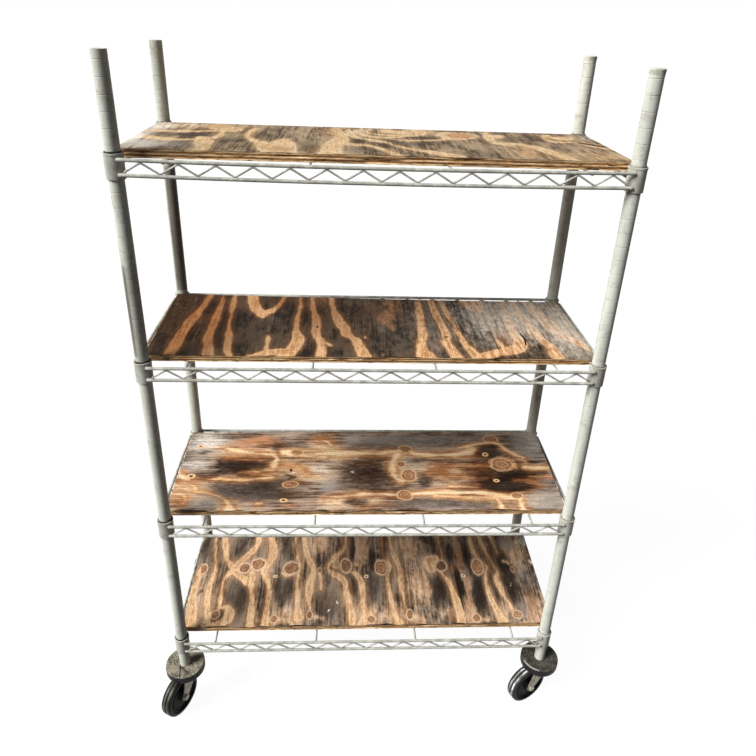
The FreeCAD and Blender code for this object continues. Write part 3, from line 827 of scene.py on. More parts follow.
def make_cap(corner):
    """Flanged cap over a post's top, or a plug flush with its wall, with a rounded rim and a low crown."""
    low, high = node_box("post_" + corner)
    radius, top = (high[0] - low[0]) / 2, high[2]
    if corner in CAP_FLANGE:
        outside, crown = radius + FIT + CAP_FLANGE[corner], top + CAP_TOP
        foot = crown - CAP_HEIGHT
        bore, rounding = radius + FIT, CAP_ROUND
        skirt = [[bore + CAP_EDGE, foot], [outside - CAP_EDGE, crown - CAP_LIP]]
        start = [[0, top], [bore, top], [bore, foot]] + skirt
    else:
        outside, crown = radius - FIT, top + PLUG_RIM
        bore, rounding = radius - POST_WALL - FIT, PLUG_ROUND
        start = [[0, top - PLUG_LENGTH], [bore, top - PLUG_LENGTH], [bore, top], [outside, top]]
    rim = arc((outside - rounding, crown - rounding - CAP_EDGE), rounding, 0, 90)
    profile = np.vstack([start, rim, [[outside / 2, crown - CAP_EDGE / 4], [0, crown]]])
    make_piece(
        "post_cap_" + corner, "frame", [moved(turned(profile), (*post_axis(corner), 0))], [CAP_GREY],
        ["cap_" + corner],
    )


# Wire shelves


def collar(rod_level):
    """Ring round a post: plain wall, raised lip at its top, rounded foot."""
    top, foot = rod_level + COLLAR_ABOVE_ROD, rod_level - COLLAR_BELOW_ROD
    lip = COLLAR_RADIUS + COLLAR_LIP
    bore = COLLAR_RADIUS - COLLAR_WALL
    lip_foot = top - COLLAR_LIP_HEIGHT
    profile = np.vstack([
        arc((COLLAR_RADIUS - COLLAR_FOOT_ROUND, foot + COLLAR_FOOT_ROUND), COLLAR_FOOT_ROUND, -90, 0),
        [[COLLAR_RADIUS, lip_foot - COLLAR_LIP], [lip, lip_foot]],
        arc((lip - COLLAR_LIP_ROUND, top - COLLAR_LIP_ROUND), COLLAR_LIP_ROUND, 0, 90),
        [[bore, top], [bore, foot]],
    ])
    return turned(profile, segments=40, close=True)


def zigzag(span, low, high):
    """Wire bent between two rods: a rounded triangle wave, asin(k sin p) / asin(k), along X."""
    clear = span - 2 * COLLAR_RADIUS
    bays = round(clear / ZIGZAG_PITCH)
    along = np.linspace(-clear / 2, clear / 2, bays * ZIGZAG_STEPS + 1)
    phase = 2 * np.pi * bays * (along / clear + 0.5) - np.pi / 2
    wave = np.arcsin(ZIGZAG_TIGHTNESS * np.sin(phase)) / math.asin(ZIGZAG_TIGHTNESS)
    inset = ROD_RADIUS + ZIGZAG_RADIUS - WELD_DEPTH
    height = (low + high) / 2 + wave * ((high - low) / 2 - inset)
    path = np.stack([along, np.zeros_like(along), height], 1)
    return tube(path, closed_ends(len(along), ZIGZAG_RADIUS), (0, 1, 0), sides=10)


def truss(span, rod_level, sag=0.0):
    """Two rods with a zigzag wire between them, along X, lowered by sag (1 - (x / half)^2)."""
    half = span / 2 - ROD_END_SETBACK
    low = rod_level - TRUSS_HEIGHT
    rods = [rod((-half, 0, level), (half, 0, level), ROD_RADIUS, (0, 1, 0)) for level in (rod_level, low)]
    parts = rods + [zigzag(span, low, rod_level)]
    for part in parts:
        part["points"][:, 2] -= sag * (1 - (part["points"][:, 0] / half) ** 2)
    return parts


def cross_wire(rod_level, place, reach):
    """Wire from front to back: level under the board, then a smooth step up to the rods at both ends."""
    ramp = np.linspace(reach - CROSS_WIRE_RAMP, reach, CROSS_WIRE_STEPS)
    across = np.concatenate([-ramp[::-1], ramp])
    share = np.clip((np.abs(across) - reach + CROSS_WIRE_RAMP) / CROSS_WIRE_RAMP, 0, 1)
    low = rod_level - CROSS_WIRE_DROP
    height = low + (3 * share ** 2 - 2 * share ** 3) * (CROSS_WIRE_DROP - ROD_RADIUS + WELD_DEPTH)
    path = np.stack([np.full_like(across, place), across, height], 1)
    return tube(path, closed_ends(len(across), CROSS_WIRE_RADIUS), (1, 0, 0), sides=12)


def make_shelf(tier):
    """Welded wire shelf: collars at the posts, trusses on all four sides and wires across."""
    level = rod_height(tier)
    right, front = post_axis("front_right")
    surfaces = []
    for side in (-1, 1):
        sag = TOP_SAG if tier == "top" and side < 0 else 0.0
        away = (0, side * (abs(front) + TRUSS_OFFSET), 0)
        surfaces += [moved(part, away) for part in truss(2 * right, level, sag)]
        surfaces += [
            moved(part, (side * (right + TRUSS_OFFSET), 0, 0), math.pi / 2)
            for part in truss(2 * abs(front), level)
        ]
    for index in range(CROSS_WIRE_COUNT):
        place = (index - (CROSS_WIRE_COUNT - 1) / 2) * CROSS_WIRE_SPACING
        surfaces.append(cross_wire(level, place, abs(front) + TRUSS_OFFSET))
    surfaces += [moved(collar(level), (*post_axis(corner), 0)) for corner in CORNERS]
    make_piece("wire_shelf_" + tier, "frame", surfaces, [WIRE_ENAMEL], ["shelf_" + tier])


# Scorched boards. A stroke is a list of (s, t, half width) in millimetres along a grain band: s runs along
# the board like x, t from the middle of its depth to the back. A cloud is (s, t, half size along s,
# half size along t, strength), and a knot is (s, t, half size along s, half size along t, lightness).

GOLDEN_BANDS = {
    "top": (
        ((-440, 45, 6), (-403, 41, 7), (-360, 43, 8), (-326, 51, 9), (-296, 58, 12), (-273, 75, 12),
         (-278, 100, 8)),
        ((-330, 125, 14), (-310, 98, 26), (-300, 80, 18)),
        ((-430, -15, 6), (-410, -35, 9), (-376, -48, 11), (-346, -48, 10), (-325, -38, 10)),
        ((-320, -24, 14), (-313, -55, 18), (-303, -88, 13), (-300, -122, 11), (-303, -146, 11)),
        ((-297, 50, 7), (-296, 10, 8), (-298, -25, 8)),
        ((-240, 95, 6), (-243, 60, 8), (-243, 15, 7), (-236, -15, 8), (-223, -42, 10), (-205, -72, 16),
         (-193, -100, 20), (-170, -146, 26)),
        ((-171, -12, 8), (-176, -40, 16), (-172, -85, 24), (-166, -130, 20)),
        ((-83, 131, 10), (-78, 80, 13), (-70, 25, 13), (-71, -10, 14), (-80, -52, 16), (-86, -100, 15),
         (-86, -146, 17)),
        ((-95, 78, 7), (-82, 58, 9)),
        ((-52, 130, 3), (-54, 80, 4), (-50, 48, 5), (-33, 18, 6), (-10, 2, 6), (10, -12, 7), (23, -30, 5),
         (34, -56, 6), (53, -75, 9), (80, -95, 11), (107, -118, 12), (130, -146, 14)),
        ((-68, -25, 8), (-53, -48, 9), (-23, -55, 9), (0, -82, 8), (13, -108, 9), (28, -146, 12)),
        ((-30, 138, 3), (-35, 98, 4), (-30, 65, 4), (-13, 45, 6), (14, 35, 8), (40, 42, 6)),
        ((-10, 138, 3), (-16, 101, 4), (-10, 78, 5), (7, 68, 8), (35, 62, 9), (70, 68, 9), (90, 90, 8),
         (92, 115, 8), (80, 135, 6)),
        ((30, 115, 16), (55, 100, 20)),
        ((30, 21, 5), (53, 11, 5), (90, 15, 6), (120, 25, 7), (140, 41, 9), (163, 47, 9), (185, 54, 8),
         (197, 78, 6), (192, 103, 5), (175, 116, 4), (155, 117, 5), (135, 108, 6), (128, 85, 7),
         (136, 60, 6)),
        ((233, 138, 4), (228, 110, 5), (226, 82, 8), (220, 48, 7), (223, 15, 8), (240, -2, 9), (263, 2, 10),
         (287, -12, 10), (301, -38, 12), (311, -75, 13), (328, -146, 15)),
        ((250, 95, 8), (240, 80, 10)),
        ((352, 120, 12), (340, 85, 6), (344, 54, 7), (363, 40, 7), (388, 45, 6)),
        ((355, 95, 14), (375, 80, 18), (390, 100, 12)),
        ((387, 35, 4), (410, 5, 6), (440, -28, 6)),
        ((410, 45, 4), (440, 21, 4)),
    ),
    "upper": (
        ((-337, 146, 3), (-335, 100, 6), (-334, 50, 7), (-333, 0, 7.5), (-331, -40, 7), (-332, -72, 10),
         (-327, -100, 9.5), (-320, -146, 9)),
        ((-312, 146, 3), (-310, 108, 4), (-305, 50, 5), (-302, 0, 4.5), (-298, -28, 5), (-295, -50, 8),
         (-290, -100, 7), (-277, -146, 7)),
        ((-272, 146, 9), (-265, 118, 11), (-256, 82, 12), (-247, 60, 14), (-237, 45, 12), (-236, 33, 4)),
        ((-198, 146, 4), (-205, 100, 6), (-212, 78, 7), (-223, 64, 11), (-237, 50, 12)),
        ((-160, 146, 4), (-160, 50, 5), (-161, 0, 7), (-159, -36, 8.5), (-152, -66, 11), (-155, -95, 12),
         (-163, -125, 14), (-172, -146, 18)),
        ((-163, -125, 12), (-190, -128, 13), (-210, -130, 11), (-240, -146, 6)),
        ((-214, -55, 1), (-213, -72, 2.5), (-212, -95, 1.5), (-212, -115, 4)),
        ((-133, 146, 6), (-131, 90, 6.5), (-124, 45, 8), (-120, 0, 8), (-119, -40, 8.5), (-110, -75, 9),
         (-105, -100, 9), (-105, -146, 11)),
        ((-102, -65, 2), (-99, -84, 3), (-92, -90, 4), (-87, -98, 2)),
        ((-90, 146, 8), (-86, 95, 6), (-76, 45, 8), (-64, 0, 12), (-54, -42, 11), (-44, -60, 8),
         (-35, -72, 10), (-26, -105, 11), (-17, -146, 12)),
        ((110, 146, 6), (107, 50, 9), (106, 0, 9), (102, -55, 9), (97, -85, 10), (98, -112, 13),
         (102, -146, 20)),
        ((140, 146, 6), (142, 75, 7), (149, 0, 8), (152, -50, 8.5), (150, -72, 9), (156, -105, 11),
         (163, -146, 14)),
        ((162, 146, 4), (168, 80, 5), (177, 0, 5), (181, -45, 7), (190, -95, 7), (203, -146, 9)),
        ((232, 146, 27), (236, 112, 22), (240, 95, 14), (242, 78, 5)),
        ((305, 146, 5), (304, 75, 7), (301, 30, 10), (300, -28, 9), (303, -68, 12), (296, -95, 15),
         (275, -110, 17), (240, -125, 14), (208, -146, 13)),
        ((257, -55, 1.5), (259, -72, 4), (262, -90, 7)),
        ((328, 146, 5), (335, 75, 9), (341, 20, 12), (346, -30, 11), (352, -60, 9), (361, -95, 11),
         (364, -146, 13)),
        ((368, 146, 10), (376, 95, 12), (384, 40, 15), (392, 0, 16), (405, -40, 13), (424, -65, 11),
         (441, -98, 8)),
        ((-16, -54, 1.5), (-16, -62, 1.5)),
        ((-366, 146, 6), (-369, 95, 7), (-377, 45, 8), (-384, -5, 10), (-388, -45, 11), (-391, -90, 11),
         (-394, -146, 12)),
    ),
    "lower": (
        ((-400, 86, 2), (-350, 80, 3), (-330, 72, 5), (-300, 63, 6.5), (-250, 55, 5.5), (-230, 48, 7),
         (-221, 38, 8), (-223, 22, 8), (-224, 5, 6)),
        ((-345, 38, 1.5), (-300, 33, 2), (-250, 30, 1.5)),
        ((-300, -15, 2), (-265, -13, 4), (-225, -9, 5)),
        ((-290, -17, 1.5), (-255, -23, 3), (-230, -28, 4), (-222, -33, 4)),
        ((-400, -40, 2.5), (-350, -40, 3), (-300, -42, 3.5), (-250, -38, 4.5), (-222, -32, 4)),
        ((-440, -22, 8), (-425, -34, 11), (-412, -40, 6)),
        ((-434, -50, 3), (-410, -56, 4), (-396, -64, 4), (-391, -76, 2.5)),
        ((-446, -88, 3), (-418, -93, 4), (-408, -105, 4), (-408, -122, 4)),
        ((-390, -83, 2), (-350, -92, 3), (-322, -108, 4), (-310, -126, 7), (-306, -146, 9)),
        ((-204, 62, 9), (-190, 58, 10), (-186, 52, 6)),
        ((-160, 68, 2.5), (-130, 68, 2)),
        ((-160, 48, 4), (-130, 43, 4), (-104, 42, 6)),
        ((-124, 54, 5), (-95, 55, 9), (-60, 57, 11), (-20, 56, 9), (20, 55, 7), (50, 60, 4.5), (75, 66, 4),
         (86, 70, 3)),
        ((104, 66, 3), (113, 58, 5), (140, 51, 5), (180, 49, 7), (220, 52, 10), (250, 59, 13), (264, 70, 9)),
        ((232, 78, 3), (260, 86, 4.5), (285, 95, 4), (302, 99, 4), (318, 100, 3), (333, 94, 4), (344, 79, 6),
         (356, 62, 6), (370, 48, 7), (386, 38, 6)),
        ((372, 34, 6), (388, 26, 5)),
        ((-114, 112, 4), (-100, 102, 7), (-90, 92, 6)),
        ((-100, -103, 2), (-50, -98, 3.5), (0, -92, 6), (50, -95, 6), (72, -96, 4)),
        ((97, -91, 3.5), (150, -88, 5), (200, -88, 7.5), (250, -90, 9), (288, -95, 8), (304, -99, 7)),
        ((150, -98, 2), (213, -103, 2.5), (285, -106, 2.5)),
        ((74, 52, 8), (64, 32, 8), (59, 8, 6), (58, -15, 6.5), (65, -38, 7), (80, -47, 6)),
        ((305, -100, 8), (320, -104, 8), (345, -108, 6)),
        ((291, -110, 3), (297, -130, 7), (295, -146, 10)),
        ((343, -112, 4), (343, -130, 7), (345, -146, 9)),
        ((-247, -121, 3.5), (-238, -121, 3)),
        ((345, -90, 2), (365, -86, 2.5), (385, -82, 2)),
        ((180, -32, 2.5), (215, -32, 3.5), (250, -33, 2.5)),
        ((150, 3, 2), (175, 3, 3), (200, 4, 2)),
        ((205, 6, 2), (250, 6, 3), (290, 6, 2)),
        ((190, -68, 2), (250, -70, 3)),
        ((345, -45, 2), (375, -45, 2)),
        ((380, 1, 4), (410, 0, 4), (436, 2, 4)),
        ((385, -32, 4), (412, -36, 5), (436, -38, 4)),
        ((352, 25, 1.5), (357, 2, 2)),
    ),
    "bottom": (
        ((-407, 150, 3), (-405, 120, 3), (-399, 78, 4), (-392, 48, 4), (-391, 15, 4.5), (-395, -25, 5.5),
         (-393, -65, 5), (-388, -100, 5), (-381, -122, 6), (-377, -150, 9)),
        ((-387, 150, 5), (-380, 118, 5.5), (-373, 90, 5.5), (-363, 62, 6), (-352, 40, 6.5), (-345, 30, 6)),
        ((-347, 28, 6), (-357, 14, 6), (-363, -10, 6), (-363, -60, 6.5), (-360, -92, 6)),
        ((-360, -92, 7), (-343, -94, 10), (-335, -108, 12), (-340, -128, 13), (-360, -142, 12),
         (-385, -142, 9)),
        ((-293, 150, 6), (-293, 117, 6), (-304, 92, 7), (-324, 66, 7), (-338, 42, 7), (-344, 30, 6)),
        ((-340, 24, 6), (-325, 8, 8), (-305, -8, 12), (-292, -25, 10), (-286, -60, 7.5), (-281, -100, 8.5),
         (-277, -150, 9)),
        ((-297, 20, 7), (-293, -4, 9)),
        ((-257, 150, 5), (-248, 110, 9), (-246, 75, 9), (-258, 42, 6), (-264, 22, 7), (-254, 0, 8),
         (-246, -28, 7.5), (-245, -80, 7), (-245, -112, 9), (-243, -150, 14)),
        ((-188, 150, 4.5), (-186, 112, 4), (-180, 72, 4), (-172, 44, 4), (-172, 18, 5), (-175, -12, 5),
         (-172, -45, 4.5), (-170, -80, 4), (-168, -102, 6), (-164, -124, 11)),
        ((-168, 150, 4), (-162, 118, 5), (-155, 85, 6), (-145, 58, 7), (-135, 35, 7.5), (-134, 18, 7),
         (-141, -8, 7.5), (-143, -45, 7.5), (-140, -80, 5), (-139, -100, 3)),
        ((-215, 17, 2), (-205, 10, 3), (-196, 11, 3), (-184, 24, 2)),
        ((-118, 18, 2.5), (-114, -10, 3), (-113, -38, 1.5)),
        ((-52, 150, 6), (-52, 116, 6), (-60, 92, 8), (-80, 70, 7), (-93, 47, 5), (-95, 30, 5), (-82, 14, 8),
         (-66, 4, 9), (-53, -12, 9), (-46, -45, 9), (-39, -90, 9), (-33, -150, 10)),
        ((-40, 20, 3), (-26, 14, 5), (-17, 2, 6), (-9, -20, 7), (-5, -60, 7), (-3, -98, 8), (6, -120, 11),
         (-6, -148, 13)),
        ((-31, 50, 2), (-22, 44, 3), (-17, 42, 2)),
        ((50, 150, 5), (50, 112, 4), (51, 82, 3.5), (58, 60, 3.5), (68, 38, 4), (66, 18, 4), (61, -2, 4.5),
         (62, -40, 5), (66, -82, 5.5), (70, -108, 6), (78, -128, 9), (84, -150, 14)),
        ((70, 150, 5), (73, 115, 4.5), (80, 80, 5), (89, 50, 6), (95, 25, 7), (95, -15, 7), (97, -60, 6),
         (101, -100, 4), (105, -108, 3)),
        ((102, 150, 4), (105, 122, 4), (110, 100, 4)),
        ((195, 66, 8), (180, 60, 13), (172, 42, 13), (178, 24, 9)),
        ((208, 150, 4.5), (208, 115, 5), (212, 88, 3.5), (209, 58, 3)),
        ((204, 14, 6), (212, -2, 7), (222, -28, 9.5), (229, -65, 10.5), (233, -105, 10), (234, -150, 11)),
        ((299, 150, 5), (300, 112, 5.5), (304, 82, 5), (311, 64, 4), (322, 50, 3.5), (329, 32, 3.5),
         (322, 10, 4.5), (317, -18, 5), (319, -62, 5), (325, -96, 6), (333, -122, 8), (337, -150, 12)),
        ((324, 150, 4), (329, 118, 5), (337, 82, 5), (346, 48, 5), (353, 15, 5), (348, -8, 7.5),
         (351, -40, 7), (358, -72, 3.5), (370, -106, 2.5)),
        ((357, 150, 5), (362, 115, 4), (367, 85, 3)),
        ((-432, 25, 6), (-434, -40, 8), (-430, -80, 8), (-425, -112, 12), (-424, -150, 16)),
    ),
}

# Dimmer brown bands with frayed edges
EMBER_BANDS = {
    "top": (((265, -20, 12), (272, -60, 16), (262, -110, 14)), ((163, 96, 14), (163, 70, 14))),
    "upper": (
        ((46, 146, 16), (45, 95, 14), (38, 55, 16), (32, 30, 15), (38, 5, 10), (42, -18, 4)),
        ((60, 146, 6), (58, 95, 6), (54, 50, 5)),
        ((-112, 146, 8), (-104, 125, 6)),
    ),
    "lower": (((-335, 44, 6), (-290, 42, 6), (-240, 38, 8)), ((-200, 12, 8), (-165, 2, 12), (-140, -20, 10))),
    "bottom": (
        ((2, 150, 11), (0, 110, 10), (-3, 70, 9), (-8, 40, 6)),
        ((255, 150, 6), (259, 110, 8), (262, 75, 9), (254, 30, 8), (256, 5, 7), (262, -30, 8), (264, -80, 10),
         (267, -118, 13)),
        ((-130, 150, 10), (-124, 120, 9), (-118, 98, 4)),
        ((150, 150, 9), (143, 112, 9), (134, 72, 6)),
        ((104, 150, 5), (112, 110, 8), (124, 78, 8)),
        ((440, 150, 8), (430, 112, 8), (424, 75, 9)),
        ((131, 4, 5), (133, -40, 4)),
        ((157, 0, 6), (157, -50, 7), (150, -82, 5)),
        ((-260, -132, 10), (-222, -132, 14), (-172, -134, 14)),
        ((300, -136, 12), (262, -140, 14)),
        ((-124, -122, 8), (-108, -128, 8)),
        ((14, -132, 14), (20, -140, 12)),
        ((425, -100, 7), (416, -130, 14), (406, -150, 18)),
        ((378, 52, 12), (392, 44, 10)),
        ((-76, 62, 9), (-80, 40, 8)),
        ((110, -128, 16), (135, -138, 12)),
    ),
}

# Thin black splits and burnt scratches
CRACKS = {
    "top": (
        ((400, 41, 4), (423, 11, 5), (443, 2, 5)),
        ((-66, 118, 2), (-65, 106, 2)),
        ((-49, 125, 1.5), (-48, 105, 1.5)),
    ),
    "upper": (
        ((-57, 41, 1.2), (-40, 65, 1.5), (-29, 82, 1.5), (-26, 93, 1)),
        ((-44, 93, 1), (-40, 82, 1.2), (-32, 77, 1)),
        ((43, -38, 1), (52, -25, 1.5), (60, -12, 1)),
        ((2, -102, 1), (12, -115, 1.5), (22, -128, 1.5)),
        ((205, -43, 1), (220, -41, 1.2)),
        ((237, -22, 1.5), (248, -28, 1.5)),
        ((225, -4, 1), (238, -6, 1.2)),
        ((207, 28, 1.5), (215, 22, 1)),
        ((313, -30, 1.5), (316, -55, 2), (312, -85, 1.5)),
        ((-436, -55, 2), (-418, -56, 2.5)),
        ((-117, -6, 1.5), (-118, -16, 1.5)),
    ),
    "lower": (
        ((-182, -5, 2.5), (-182, -11, 2.5)),
        ((340, 22, 1.2), (420, 22, 1.5)),
        ((330, -30, 2), (400, -24, 1.5)),
    ),
    "bottom": (
        ((-268, 10, 1.2), (-265, -40, 1.5), (-266, -100, 1)),
        ((-258, -5, 1), (-256, -60, 1.2)),
        ((240, 20, 1.5), (243, -50, 2), (246, -110, 1)),
        ((-29, 140, 1.5), (-31, 70, 1.5)),
        ((278, 100, 1.5), (282, 40, 1.5)),
    ),
}

RUST_CLOUDS = {
    "top": (
        (-190, -105, 14, 14, 0.6), (162, 82, 24, 22, 0.5), (265, -45, 28, 50, 0.4), (375, 85, 24, 38, 0.35),
        (-390, 110, 28, 32, 0.4), (-90, 120, 12, 20, 0.4), (400, -95, 40, 40, 0.3), (-310, 98, 16, 24, 0.5),
    ),
    "upper": ((275, -45, 16, 42, 0.8), (20, 40, 14, 26, 0.5), (30, -134, 30, 8, 0.4)),
    "lower": (
        (-270, 102, 62, 30, 0.8), (-165, -8, 40, 34, 0.75), (0, -10, 62, 58, 0.5), (268, -25, 36, 58, 0.8),
        (272, 32, 28, 15, 0.6), (375, -60, 15, 15, 0.9), (-418, -95, 26, 36, 0.6), (328, 15, 32, 26, 0.7),
        (-192, 72, 12, 8, 0.6), (5, -132, 62, 16, 0.5), (-175, -130, 28, 16, 0.5), (-75, -130, 20, 18, 0.4),
    ),
    "bottom": (
        (-72, 50, 16, 32, 0.8), (228, 34, 15, 13, 0.8), (135, -30, 16, 54, 0.45), (-60, 90, 12, 16, 0.5),
        (303, 35, 20, 30, 0.5), (43, 33, 20, 30, 0.5), (-425, -20, 14, 60, 0.4),
    ),
}
SOOT_CLOUDS = {
    "top": (
        (-350, 6, 38, 22, 0.8), (-395, 10, 28, 24, 0.45), (-278, -45, 14, 95, 0.45), (-217, 15, 18, 54, 0.35),
        (-37, 0, 18, 34, 0.85), (-28, -102, 34, 34, 0.5), (12, -60, 15, 26, 0.6), (-5, -30, 20, 13, 0.6),
        (88, 46, 40, 16, 0.6), (165, 133, 48, 9, 0.75), (208, 100, 7, 42, 0.75), (60, -25, 38, 20, 0.5),
        (368, 27, 24, 9, 0.5), (-127, -80, 24, 62, 0.45), (180, -105, 42, 32, 0.35), (326, 60, 11, 44, 0.4),
        (262, 60, 26, 42, 0.3), (-350, -85, 22, 22, 0.4), (350, -125, 26, 14, 0.3),
    ),
    "upper": (
        (318, 95, 6, 30, 0.85), (355, 92, 9, 38, 0.85), (294, 92, 5, 27, 0.5), (369, -37, 10, 7, 0.6),
        (30, -80, 62, 62, 0.3), (-10, 60, 42, 52, 0.4), (-240, -40, 52, 72, 0.25), (-425, -80, 12, 12, 0.5),
    ),
    "lower": (
        (-395, 62, 14, 10, 0.75), (-352, 5, 9, 36, 0.8), (-290, 8, 68, 40, 0.8), (-255, -68, 115, 46, 0.65),
        (-222, 62, 14, 42, 0.6), (-185, -33, 12, 14, 0.8), (0, -26, 78, 74, 0.72), (-28, -118, 29, 13, 0.7),
        (130, -45, 18, 28, 0.7), (128, 30, 24, 11, 0.6), (300, 68, 42, 36, 0.95), (395, 21, 46, 6, 0.9),
        (364, -16, 66, 28, 1.1), (322, -62, 62, 32, 1.1), (290, -12, 60, 58, 0.6), (235, -125, 70, 18, 0.55),
        (190, 100, 210, 26, 0.45), (120, -122, 110, 20, 0.45), (345, 40, 11, 13, 0.5), (410, -15, 32, 9, 0.5),
    ),
    "bottom": (
        (-323, -65, 30, 76, 0.6), (-210, 100, 15, 42, 0.6), (-205, -40, 28, 50, 0.6), (-95, -80, 36, 58, 0.6),
        (-33, 100, 9, 50, 0.95), (-27, -30, 12, 46, 0.8), (22, 60, 10, 46, 0.95), (185, -45, 24, 54, 0.85),
        (246, -45, 11, 74, 1.0), (234, 85, 10, 34, 1.0), (283, 65, 11, 52, 1.0), (292, -60, 20, 58, 0.9),
        (375, -5, 22, 92, 0.95), (337, -40, 8, 66, 0.7), (20, -30, 22, 60, 0.6), (100, 90, 8, 40, 0.5),
        (-415, -46, 9, 9, 0.7), (-340, 95, 30, 42, 0.35), (-425, 105, 13, 42, 0.5), (395, 118, 30, 28, 0.35),
    ),
}
# Clouds of painted sheen: a pale grey glare on the finish, put into the colour
SHEEN_CLOUDS = {
    "top": (
        (-420, -95, 48, 48, 0.8), (-436, 20, 24, 120, 0.7), (-370, -90, 44, 44, 0.5),
        (-40, -110, 26, 26, 0.3),
    ),
    "upper": (
        (245, 30, 55, 125, 0.55), (130, 0, 80, 180, 0.4), (430, -20, 60, 160, 0.7), (60, 0, 80, 180, 0.25),
        (235, -75, 46, 32, 0.4), (400, -105, 34, 48, 0.6),
    ),
    "lower": (
        (-400, 95, 52, 46, 0.75), (-410, 15, 38, 40, 0.6), (-365, -115, 44, 30, 0.8), (-135, 95, 17, 16, 0.5),
        (120, 108, 190, 24, 0.75), (-92, -60, 22, 46, 0.85), (398, -112, 50, 34, 0.85),
        (405, 90, 48, 60, 0.75), (-300, -95, 100, 40, 0.55), (-20, 112, 62, 26, 0.5),
        (150, -125, 150, 20, 0.5), (420, -40, 24, 40, 0.5), (-410, -60, 40, 80, 0.4),
    ),
    "bottom": (
        (400, -105, 30, 36, 0.6), (395, 118, 32, 30, 0.5), (430, 10, 26, 72, 0.4), (-95, -80, 32, 52, 0.3),
    ),
}
HAZE_CLOUDS = {
    "top": (
        (-190, -90, 30, 50, 0.6), (-60, 60, 60, 70, 0.5), (300, -90, 70, 40, 0.5), (110, 110, 70, 40, 0.6),
        (-330, 110, 90, 40, 0.6), (-100, -110, 30, 60, 0.5), (400, -100, 40, 40, 0.6),
    ),
    "upper": ((-120, 120, 40, 40, 0.5), (280, -40, 26, 50, 0.7), (20, 70, 60, 60, 0.4)),
    "lower": (
        (-133, -16, 56, 32, 0.75), (-96, 50, 88, 19, 0.7), (-9, 44, 78, 16, 0.6), (65, 14, 26, 60, 0.7),
        (176, -16, 78, 40, 0.6), (250, 56, 58, 24, 0.8), (324, 8, 40, 30, 0.65), (-287, 54, 76, 26, 0.7),
        (-176, -34, 28, 48, 0.6), (-77, -112, 38, 26, 0.6), (-305, -124, 36, 22, 0.55),
        (-416, -76, 42, 48, 0.7), (-108, 92, 32, 40, 0.85), (300, -106, 74, 20, 0.6),
        (-237, -16, 56, 28, 0.5), (380, -52, 24, 24, 0.7), (3, -120, 70, 18, 0.4),
    ),
    "bottom": (
        (-122, 120, 28, 32, 0.8), (-17, 102, 34, 50, 0.7), (118, 108, 34, 52, 0.8), (137, -24, 30, 60, 0.7),
        (-91, -60, 22, 40, 0.45), (-307, 36, 34, 26, 0.7), (-252, 66, 16, 60, 0.5), (-424, -60, 16, 70, 0.7),
        (-190, -114, 40, 24, 0.7), (69, -120, 34, 24, 0.7), (230, -120, 50, 20, 0.6), (415, 72, 44, 40, 0.6),
        (427, -102, 26, 50, 0.6), (7, -114, 26, 24, 0.7), (353, -108, 26, 26, 0.6), (168, 42, 24, 30, 0.6),
    ),
}
BURN_CLOUDS = {
    "top": (
        (-300, 120, 30, 30, 0.4), (-170, -110, 30, 30, 0.5), (-90, 60, 20, 90, 0.4), (170, 90, 40, 40, 0.4),
    ),
    "upper": (
        (-390, 20, 120, 190, 1.0), (-340, -90, 120, 70, 0.6), (-200, 120, 90, 60, 0.7),
        (-120, 50, 80, 110, 0.6), (-60, -60, 60, 90, 0.4),
    ),
    "lower": (
        (-290, 10, 75, 46, 0.65), (300, -10, 75, 72, 0.85), (0, -15, 76, 66, 0.6), (-290, -75, 110, 44, 0.35),
        (180, -20, 46, 46, 0.4),
    ),
    "bottom": (
        (255, 70, 34, 80, 0.6), (255, -70, 34, 60, 0.4), (320, 80, 40, 80, 0.45), (-40, 100, 60, 50, 0.4),
        (-260, 100, 26, 50, 0.4), (-330, 60, 40, 40, 0.4),
    ),
}
# Pale clouds lighten the veneer. On the upper board's right they are painted light that makes up for the
# shade the top board casts there; on the top board's left end they are a painted whitish sheen.
PALE_CLOUDS = {
    "top": (
        (-420, 100, 32, 44, 0.6), (-438, -30, 14, 64, 0.7), (-370, 120, 27, 27, 0.4), (430, 90, 16, 40, 0.4),
    ),
    "upper": ((430, 80, 24, 72, 0.6), (330, 70, 140, 140, 0.58), (420, 20, 80, 150, 0.55)),
    "lower": (
        (-395, 102, 42, 32, 0.6), (-410, 15, 30, 14, 0.5), (-113, -5, 22, 24, 0.5),
        (-177, -18, 3.5, 3.5, 1.0), (-39, -15, 3, 3, 1.0), (-40, 34, 3, 3, 1.0), (430, 100, 26, 54, 0.4),
    ),
    "bottom": (
        (453, 50, 6, 6, 1.0), (445, 128, 13, 26, 0.6), (-70, -82, 2.5, 2.5, 1.0), (-92, -105, 2.5, 2.5, 1.0),
        (382, -30, 2.5, 2.5, 1.0),
    ),
}
KNOTS = {
    "top": ((163, 82, 20, 20, 1.0),),
    "upper": ((152, -51, 5, 4, 0.0),),
    "lower": (
        (-173, 61, 14, 11, 0.7), (95, 75, 13, 12, 0.5), (317, 115, 15, 12, 0.6), (-181, -60, 14, 9, 0.6),
        (83, -96, 14, 12, 0.6), (80, 13, 10, 9, 0.5), (95, -25, 16, 18, 0.7), (328, 15, 26, 20, 0.85),
        (338, -101, 12, 9, 0.5),
    ),
    "bottom": (
        (-281, 48, 17, 19, 0.6), (-318, 36, 13, 15, 0.35), (-195, 33, 18, 20, 0.5), (-118, 25, 5, 8, 0.4),
        (-50, 40, 12, 20, 0.35), (43, 33, 14, 21, 0.75), (205, 38, 14, 16, 0.1), (303, 35, 14, 22, 0.8),
        (397, 23, 4, 8, 0.3), (129, 23, 3.5, 6, 0.3), (-367, -112, 8, 10, 0.4), (-138, -117, 6, 11, 0.3),
        (-223, -128, 8, 9, 0.55), (14, -132, 9, 10, 0.5), (110, -121, 7, 12, 0.3), (273, -132, 9, 11, 0.55),
        (378, -123, 10, 11, 0.7), (-421, 33, 9, 15, 0.6),
    ),
}

